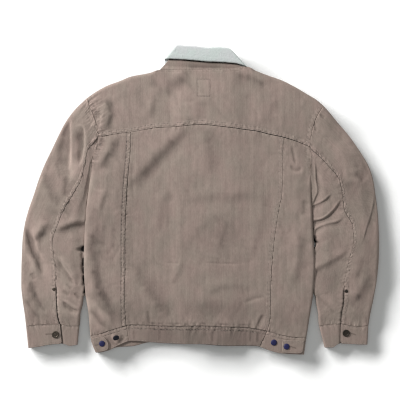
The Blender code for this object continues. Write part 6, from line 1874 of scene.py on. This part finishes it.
def pad_mesh(name, outline, low, high, mats, rings, seed, tilt=None, rows=()):
    """A soft plate with rounded edges: rings from its outline to its middle."""
    path = soften(list(outline) + [outline[0]], 1.2, 2)[:-1]
    n = len(path)
    centre = path.mean(axis=0)
    nxt, prv = np.roll(path, -1, axis=0), np.roll(path, 1, axis=0)
    way = nxt - prv
    way = way / np.linalg.norm(way, axis=1)[:, None]
    area = 0.5 * np.sum(path[:, 0] * np.roll(path[:, 1], -1) - np.roll(path[:, 0], -1) * path[:, 1])
    normal = np.stack([-way[:, 1], way[:, 0]], axis=1) * (1 if area > 0 else -1)
    size = np.linalg.norm(path - centre, axis=1)
    offsets = list(rings)
    middle = (low + high) / 2
    tops, lows, dist = [], [], []
    ring = path
    for k, d in enumerate(offsets):
        ring = path + normal * d * 0.75 + (centre - path) * (0.25 * d / size)[:, None]
        tops.append(ring)
        dist.append(np.full(n, float(d)))
    last = ring
    for t in (0.16, 0.32, 0.48, 0.64, 0.80, 0.92):
        tops.append(last + (centre - last) * t)
        dist.append(dist[len(offsets) - 1] + t * 6)
    plan = np.array(tops)
    d = np.array(dist)
    x, y = plan[..., 0], plan[..., 1]
    relief = 0.30 * noise(x / 9, y / 9, seed) + 0.10 * noise(x / 3.5, y / 3.5, seed + 1)
    for r in rows:
        relief = relief - 0.30 * np.exp(-(((d - r) / 0.7) ** 2))
    lift = tilt(x, y) if tilt else np.zeros(x.shape)
    k = 0.25 + 0.75 * roundness(d, 1.3)
    z_top = middle + (high - middle) * k + relief * ease(d / 1.5) + lift
    z_low = middle + (low - middle) * k + lift
    c_top, c_low = high + relief[-1].mean() + lift[-1].mean(), low + lift[-1].mean()
    levels = len(plan)
    verts = np.concatenate([stack3(plan, z_top).reshape(-1, 3), stack3(plan, z_low).reshape(-1, 3), [[*centre, c_top], [*centre, c_low]]])
    m = levels * n
    quads, tris = [], []
    for k in range(levels - 1):
        for i in range(n):
            j = (i + 1) % n
            quads.append((k * n + i, k * n + j, (k + 1) * n + j, (k + 1) * n + i))
            quads.append((m + k * n + j, m + k * n + i, m + (k + 1) * n + i, m + (k + 1) * n + j))
    for i in range(n):
        j = (i + 1) % n
        quads.append((j, i, m + i, m + j))
        tris.append(((levels - 1) * n + i, (levels - 1) * n + j, 2 * m))
        tris.append((m + (levels - 1) * n + j, m + (levels - 1) * n + i, 2 * m + 1))
    faces = [np.array(quads), np.array(tris)]
    if volume(verts, faces) < 0:
        faces = [f[:, ::-1] for f in faces]
    flat = verts.copy()
    flat[:, 2] = 0
    edge_wear = np.concatenate([np.exp(-((d / 2.0) ** 2)).ravel(), np.zeros(m), [0, 0]]) * 0.4
    # Painted shade in the grooves of the stitch rows.
    deep = np.concatenate([sum((0.5 * np.exp(-(((d - r) / 1.0) ** 2)) for r in rows), np.zeros(d.shape)).ravel(), np.zeros(m), [0, 0]])
    thing = finish_mesh(name, verts, faces, mats, None, {"cloth": flat, "wear_and_painted_light": edge_wear, "painted_shading": deep})
    top_faces = [tuple(q) for q in quads if max(q) < m] + [t for t in tris if max(t) <= 2 * m and 2 * m in t]
    TREES[name] = BVHTree.FromPolygons([tuple(p) for p in verts], top_faces)
    return thing, path, normal


def turned(name, node, profile, mats, middle=None, tilt=(0.0, 0.0), flip=False, segments=40):
    """A profile of (radius, height) rows turned round, standing on its node's place."""
    if middle is None:
        lo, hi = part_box(node)
        middle = ((lo[0] + hi[0]) / 2 / MM + SHIFT[0], (lo[1] + hi[1]) / 2 / MM + SHIFT[1], (hi[2] if flip else lo[2]) / MM)
    rings = [(r, z) for r, z in profile if r > 0]
    t = np.arange(segments) * 2 * math.pi / segments
    verts = [[r * math.cos(q), r * math.sin(q), z] for r, z in rings for q in t]
    verts += [[0, 0, profile[0][1]], [0, 0, profile[-1][1]]]
    verts = np.array(verts)
    if flip:
        verts[:, 2] *= -1
    sx, cx, sy, cy = math.sin(tilt[0]), math.cos(tilt[0]), math.sin(tilt[1]), math.cos(tilt[1])
    turn_x = np.array([[1, 0, 0], [0, cx, -sx], [0, sx, cx]])
    turn_y = np.array([[cy, 0, sy], [0, 1, 0], [-sy, 0, cy]])
    verts = verts @ (turn_y @ turn_x).T + np.array(middle)
    quads, tris = [], []
    n = segments
    for k in range(len(rings) - 1):
        for i in range(n):
            j = (i + 1) % n
            quads.append((k * n + i, (k + 1) * n + i, (k + 1) * n + j, k * n + j))
    top, low = len(rings) * n, len(rings) * n + 1
    for i in range(n):
        j = (i + 1) % n
        tris.append((top, i, j))
        tris.append((low, (len(rings) - 1) * n + j, (len(rings) - 1) * n + i))
    faces = [np.array(quads), np.array(tris)]
    if volume(verts, faces) < 0:
        faces = [f[:, ::-1] for f in faces]
    thing = finish_mesh(name, verts, faces, mats, smooth=38)
    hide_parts(node)
    return thing


def cap(radius, thick):
    """A tack button's cap: shallow dome in a ring, round rim, flat back."""
    rows = [
        (0.0, 0.80), (0.16, 0.80), (0.30, 0.775), (0.42, 0.735), (0.50, 0.70), (0.545, 0.70), (0.60, 0.80), (0.66, 0.92), (0.73, 0.99),
        (0.80, 1.0), (0.87, 0.97), (0.93, 0.89), (0.975, 0.76), (1.0, 0.57), (0.995, 0.36), (0.965, 0.20), (0.90, 0.07), (0.82, 0.0), (0.0, 0.0),
    ]
    return [(radius * r, thick * z) for r, z in rows]


def dome(radius, thick):
    rows = [
        (0.0, 1.0), (0.18, 0.995), (0.36, 0.97), (0.52, 0.925), (0.66, 0.855), (0.78, 0.76), (0.88, 0.63), (0.95, 0.48), (0.99, 0.32),
        (1.0, 0.2), (0.98, 0.09), (0.92, 0.0), (0.0, 0.0),
    ]
    return [(radius * r, thick * z) for r, z in rows]


def buttonhole(a, b, names, width=2.3, colour_rows=None):
    """Close stitches round a slit, from a to b in the plan."""
    a, b = np.array(a, float), np.array(b, float)
    way = (b - a) / np.linalg.norm(b - a)
    side = np.array([-way[1], way[0]])
    length = np.linalg.norm(b - a)
    rows = colour_rows
    count = int(length / 0.8)
    for k in range(count + 1):
        c = a + way * length * k / count
        for sign in (1, -1):
            p, q = c + side * sign * 0.35, c + side * sign * (width * 0.55)
            z = [drop_on(names, *p), drop_on(names, *q)]
            if None not in z:
                rows.append((*p, z[0] + 0.15, *q, z[1] + 0.12, 0.62))
    for end, sign in ((a, -1), (b, 1)):
        for angle in (-50, 0, 50):
            w = way * sign * math.cos(math.radians(angle)) + side * math.sin(math.radians(angle))
            p, q = end + w * 0.3, end + w * width * 0.6
            z = [drop_on(names, *p), drop_on(names, *q)]
            if None not in z:
                rows.append((*p, z[0] + 0.15, *q, z[1] + 0.12, 0.62))


TABS = {
    "left": [(-258.5, -332.0), (-236.0, -326.5), (-227.0, -331.0), (-221.0, -340.0), (-218.5, -350.0), (-219.5, -358.8), (-236.0, -364.2), (-247.0, -364.6), (-254.0, -349.0)],
    "right": [(250.0, -337.5), (201.0, -335.8), (197.5, -338.5), (196.6, -362.5), (200.5, -366.2), (212.0, -367.6), (246.0, -368.9), (248.0, -353.0)],
}


def make_trims():
    flat = BAND_WALL * 2 + 2 * WRAP_RADIUS + 0.3
    dark = []
    for side, outline in TABS.items():
        name = f"tab_cloth_{side}"
        tip = -1 if side == "left" else 1

        def tilt(x, y, side=side):
            if side == "left":
                return 1.0 * ease((x + 240) / 18)
            return 0.5 * ease((216 - x) / 18)

        thing, path, normal = pad_mesh(name, outline, flat + 0.1, flat + 2.7, BAND_MATS, (0, 0.2, 0.6, 1.1, 1.8, 2.6, 3.4, 4.4), 191, tilt, (2.6,))
        cloth_piece(f"tab_{side}")
        ring = path + normal * 2.6
        stitch_row(np.concatenate([ring, ring[:1]]), [name], start=1.0, end=1.0, seed=192)
    left_z = drop_on(["tab_cloth_left"], -235.0, -344.4)
    right_z = drop_on(["tab_cloth_right"], 207.6, -351.4)
    turned("navy_button_left_outer", "tab_button_left_outer", dome(7.3, 2.9), [NAVY], (-235.0, -344.4, left_z + 0.1), (0.05, -0.04))
    turned("navy_button_right_outer", "tab_button_right_outer", dome(7.3, 2.9), [NAVY], (207.6, -351.4, right_z + 0.1), (-0.04, 0.05))
    z = drop_on(["waistband_cloth_right"], 177.4, -342.2)
    turned("navy_button_right_inner", "tab_button_right_inner", dome(7.4, 2.9), [NAVY], (177.4, -342.2, z + 0.1), (0.03, 0.02))
    z = drop_on(["waistband_cloth_left"], -201.4, -330.5)
    turned("navy_button_left_inner", "tab_button_left_inner", dome(7.6, 2.7), [NAVY_SHADED], (-201.4, -330.5, z + 1.2), (0.46, 0.30))
    for side, place in (("left", (-346.8, -322.8)), ("right", (350.4, -319.4))):
        z = drop_on([f"cuff_cloth_{side}"], *place)
        thing = turned(f"bronze_button_{side}", f"cuff_button_{side}", cap(8.6, 2.9), [BRONZE if side == "left" else BRONZE_DARKER], (*place, z - 0.1), (0.03, -0.03))
    for side, place in (("left", (-349.8, -213.6)), ("right", (349.9, -217.9))):
        z = drop_on([f"top_sleeve_cloth_{side}", f"under_sleeve_cloth_{side}"], *place)
        thing = turned(f"slit_rivet_{side}", f"placket_rivet_{side}", dome(4.0, 1.6), [BRONZE if side == "left" else BRONZE_DARKER], (*place, z - 0.1))
    for k in range(6):
        thing = turned(f"front_cap_{k + 1}", f"front_button_{k + 1}", cap(8.6, 2.2), [BRONZE], flip=True)
    buttonhole((-369.5, -321.8), (-357.0, -321.5), ["cuff_cloth_left"], colour_rows=dark)
    buttonhole((360.5, -319.0), (373.5, -323.5), ["cuff_cloth_right"], colour_rows=dark)
    buttonhole((-256.0, -349.6), (-244.5, -347.2), ["tab_cloth_left"], colour_rows=dark)
    buttonhole((216.5, -350.8), (229.5, -355.2), ["tab_cloth_right"], colour_rows=dark)
    thing = thread_mesh("buttonhole_threads", dark, [DARK_THREAD])
    thing = thread_mesh("seam_stitches", THREADS, [THREAD])


# ---------------------------------------------------------------- stage


def make_stage():
    mesh = bpy.data.meshes.new("floor")
    size = 5.0
    mesh.from_pydata([(-size, -size, -0.0004), (size, -size, -0.0004), (size, size, -0.0004), (-size, size, -0.0004)], [], [(0, 1, 2, 3)])
    floor = bpy.data.objects.new("floor", mesh)
    bpy.context.scene.collection.objects.link(floor)
    n = Nodes("white_floor")
    n.set(Base_Color=(0.9, 0.9, 0.895, 1.0), Roughness=0.9, Specular_IOR_Level=0.1)
    mesh.materials.append(n.material)

    only_floor = bpy.data.collections.new("lit_floor")
    only_floor.objects.link(floor)
    only_jacket = bpy.data.collections.new("lit_jacket")
    for thing in made:
        only_jacket.objects.link(thing)

    def sun(name, strength, angle, azimuth, elevation, receiver, colour=(1, 1, 1)):
        """azimuth is where the light comes from, from +X towards +Y."""
        data = bpy.data.lights.new(name, "SUN")
        data.energy, data.angle, data.color = strength, math.radians(angle), colour
        light = bpy.data.objects.new(name, data)
        az, el = math.radians(azimuth), math.radians(elevation)
        way = Vector((-math.cos(el) * math.cos(az), -math.cos(el) * math.sin(az), -math.sin(el)))
        light.rotation_euler = way.to_track_quat("-Z", "Y").to_euler()
        light.location = -way * 3
        bpy.context.scene.collection.objects.link(light)
        light.light_linking.receiver_collection = receiver
        return light

    # the floor's light comes in low from the upper left, so that the shadow
    # falls wide and soft to the lower right; the jacket's comes from higher up
    low_sun, fan = 8.0, 7
    strength = 2.75 / fan / math.sin(math.radians(low_sun))
    cast = [bpy.data.collections.new(f"casts_on_floor_{k}") for k in (0, 1)]
    for thing in made:
        if not thing.name.startswith(("yoke", "centre_back", "seam_st")):
            cast[0].objects.link(thing)
            if not thing.name.startswith("waistband_cloth_back"):
                cast[1].objects.link(thing)
    for k in range(fan):
        light = sun(f"floor_sun_{k}", strength, 6.2, 139.7 + (k - (fan - 1) / 2) * 6.0, low_sun, only_floor)
        light.light_linking.blocker_collection = cast[k % 2]
    sun("key", 2.95, 9, 149, 25, only_jacket, (1.0, 0.985, 0.965))

    data = bpy.data.lights.new("top", "AREA")
    data.shape, data.size, data.energy = "DISK", 0.5, 3.4
    light = bpy.data.objects.new("top", data)
    light.location = (-0.4, 0.75, 0.7)
    light.rotation_euler = (-light.location).to_track_quat("-Z", "Y").to_euler()
    bpy.context.scene.collection.objects.link(light)
    light.light_linking.receiver_collection = only_jacket
    light.visible_camera = False

    world = bpy.data.worlds.new("studio")
    bpy.context.scene.world = world
    world.use_nodes = True
    back = world.node_tree.nodes["Background"]
    back.inputs[0].default_value = (0.985, 1.0, 0.985, 1.0)
    back.inputs[1].default_value = 0.345

    camera = bpy.data.cameras.new("camera")
    camera.lens, camera.sensor_width = 85, 36
    camera.clip_start, camera.clip_end = 0.05, 50
    view = bpy.data.objects.new("camera", camera)
    view.location = (-SHIFT[0] * MM, -SHIFT[1] * MM, 2.267 + 0.008)
    view.rotation_euler = (0, 0, 0)
    bpy.context.scene.collection.objects.link(view)
    bpy.context.scene.camera = view
    bpy.context.scene.view_settings.view_transform = "Standard"
    bpy.context.scene.cycles.filter_width = 1.15


make_back()
make_fronts()
make_waistbands()
for side in ("left", "right"):
    make_sleeve(side)
    make_cuff(side)
make_collar()
make_trims()
make_stage()

total = 0
for thing in made:
    thing.data.calc_loop_triangles()
    total += len(thing.data.loop_triangles)
    if len(thing.data.loop_triangles) > 60000:
        print("triangles", thing.name, len(thing.data.loop_triangles))
print("triangles in all", total)
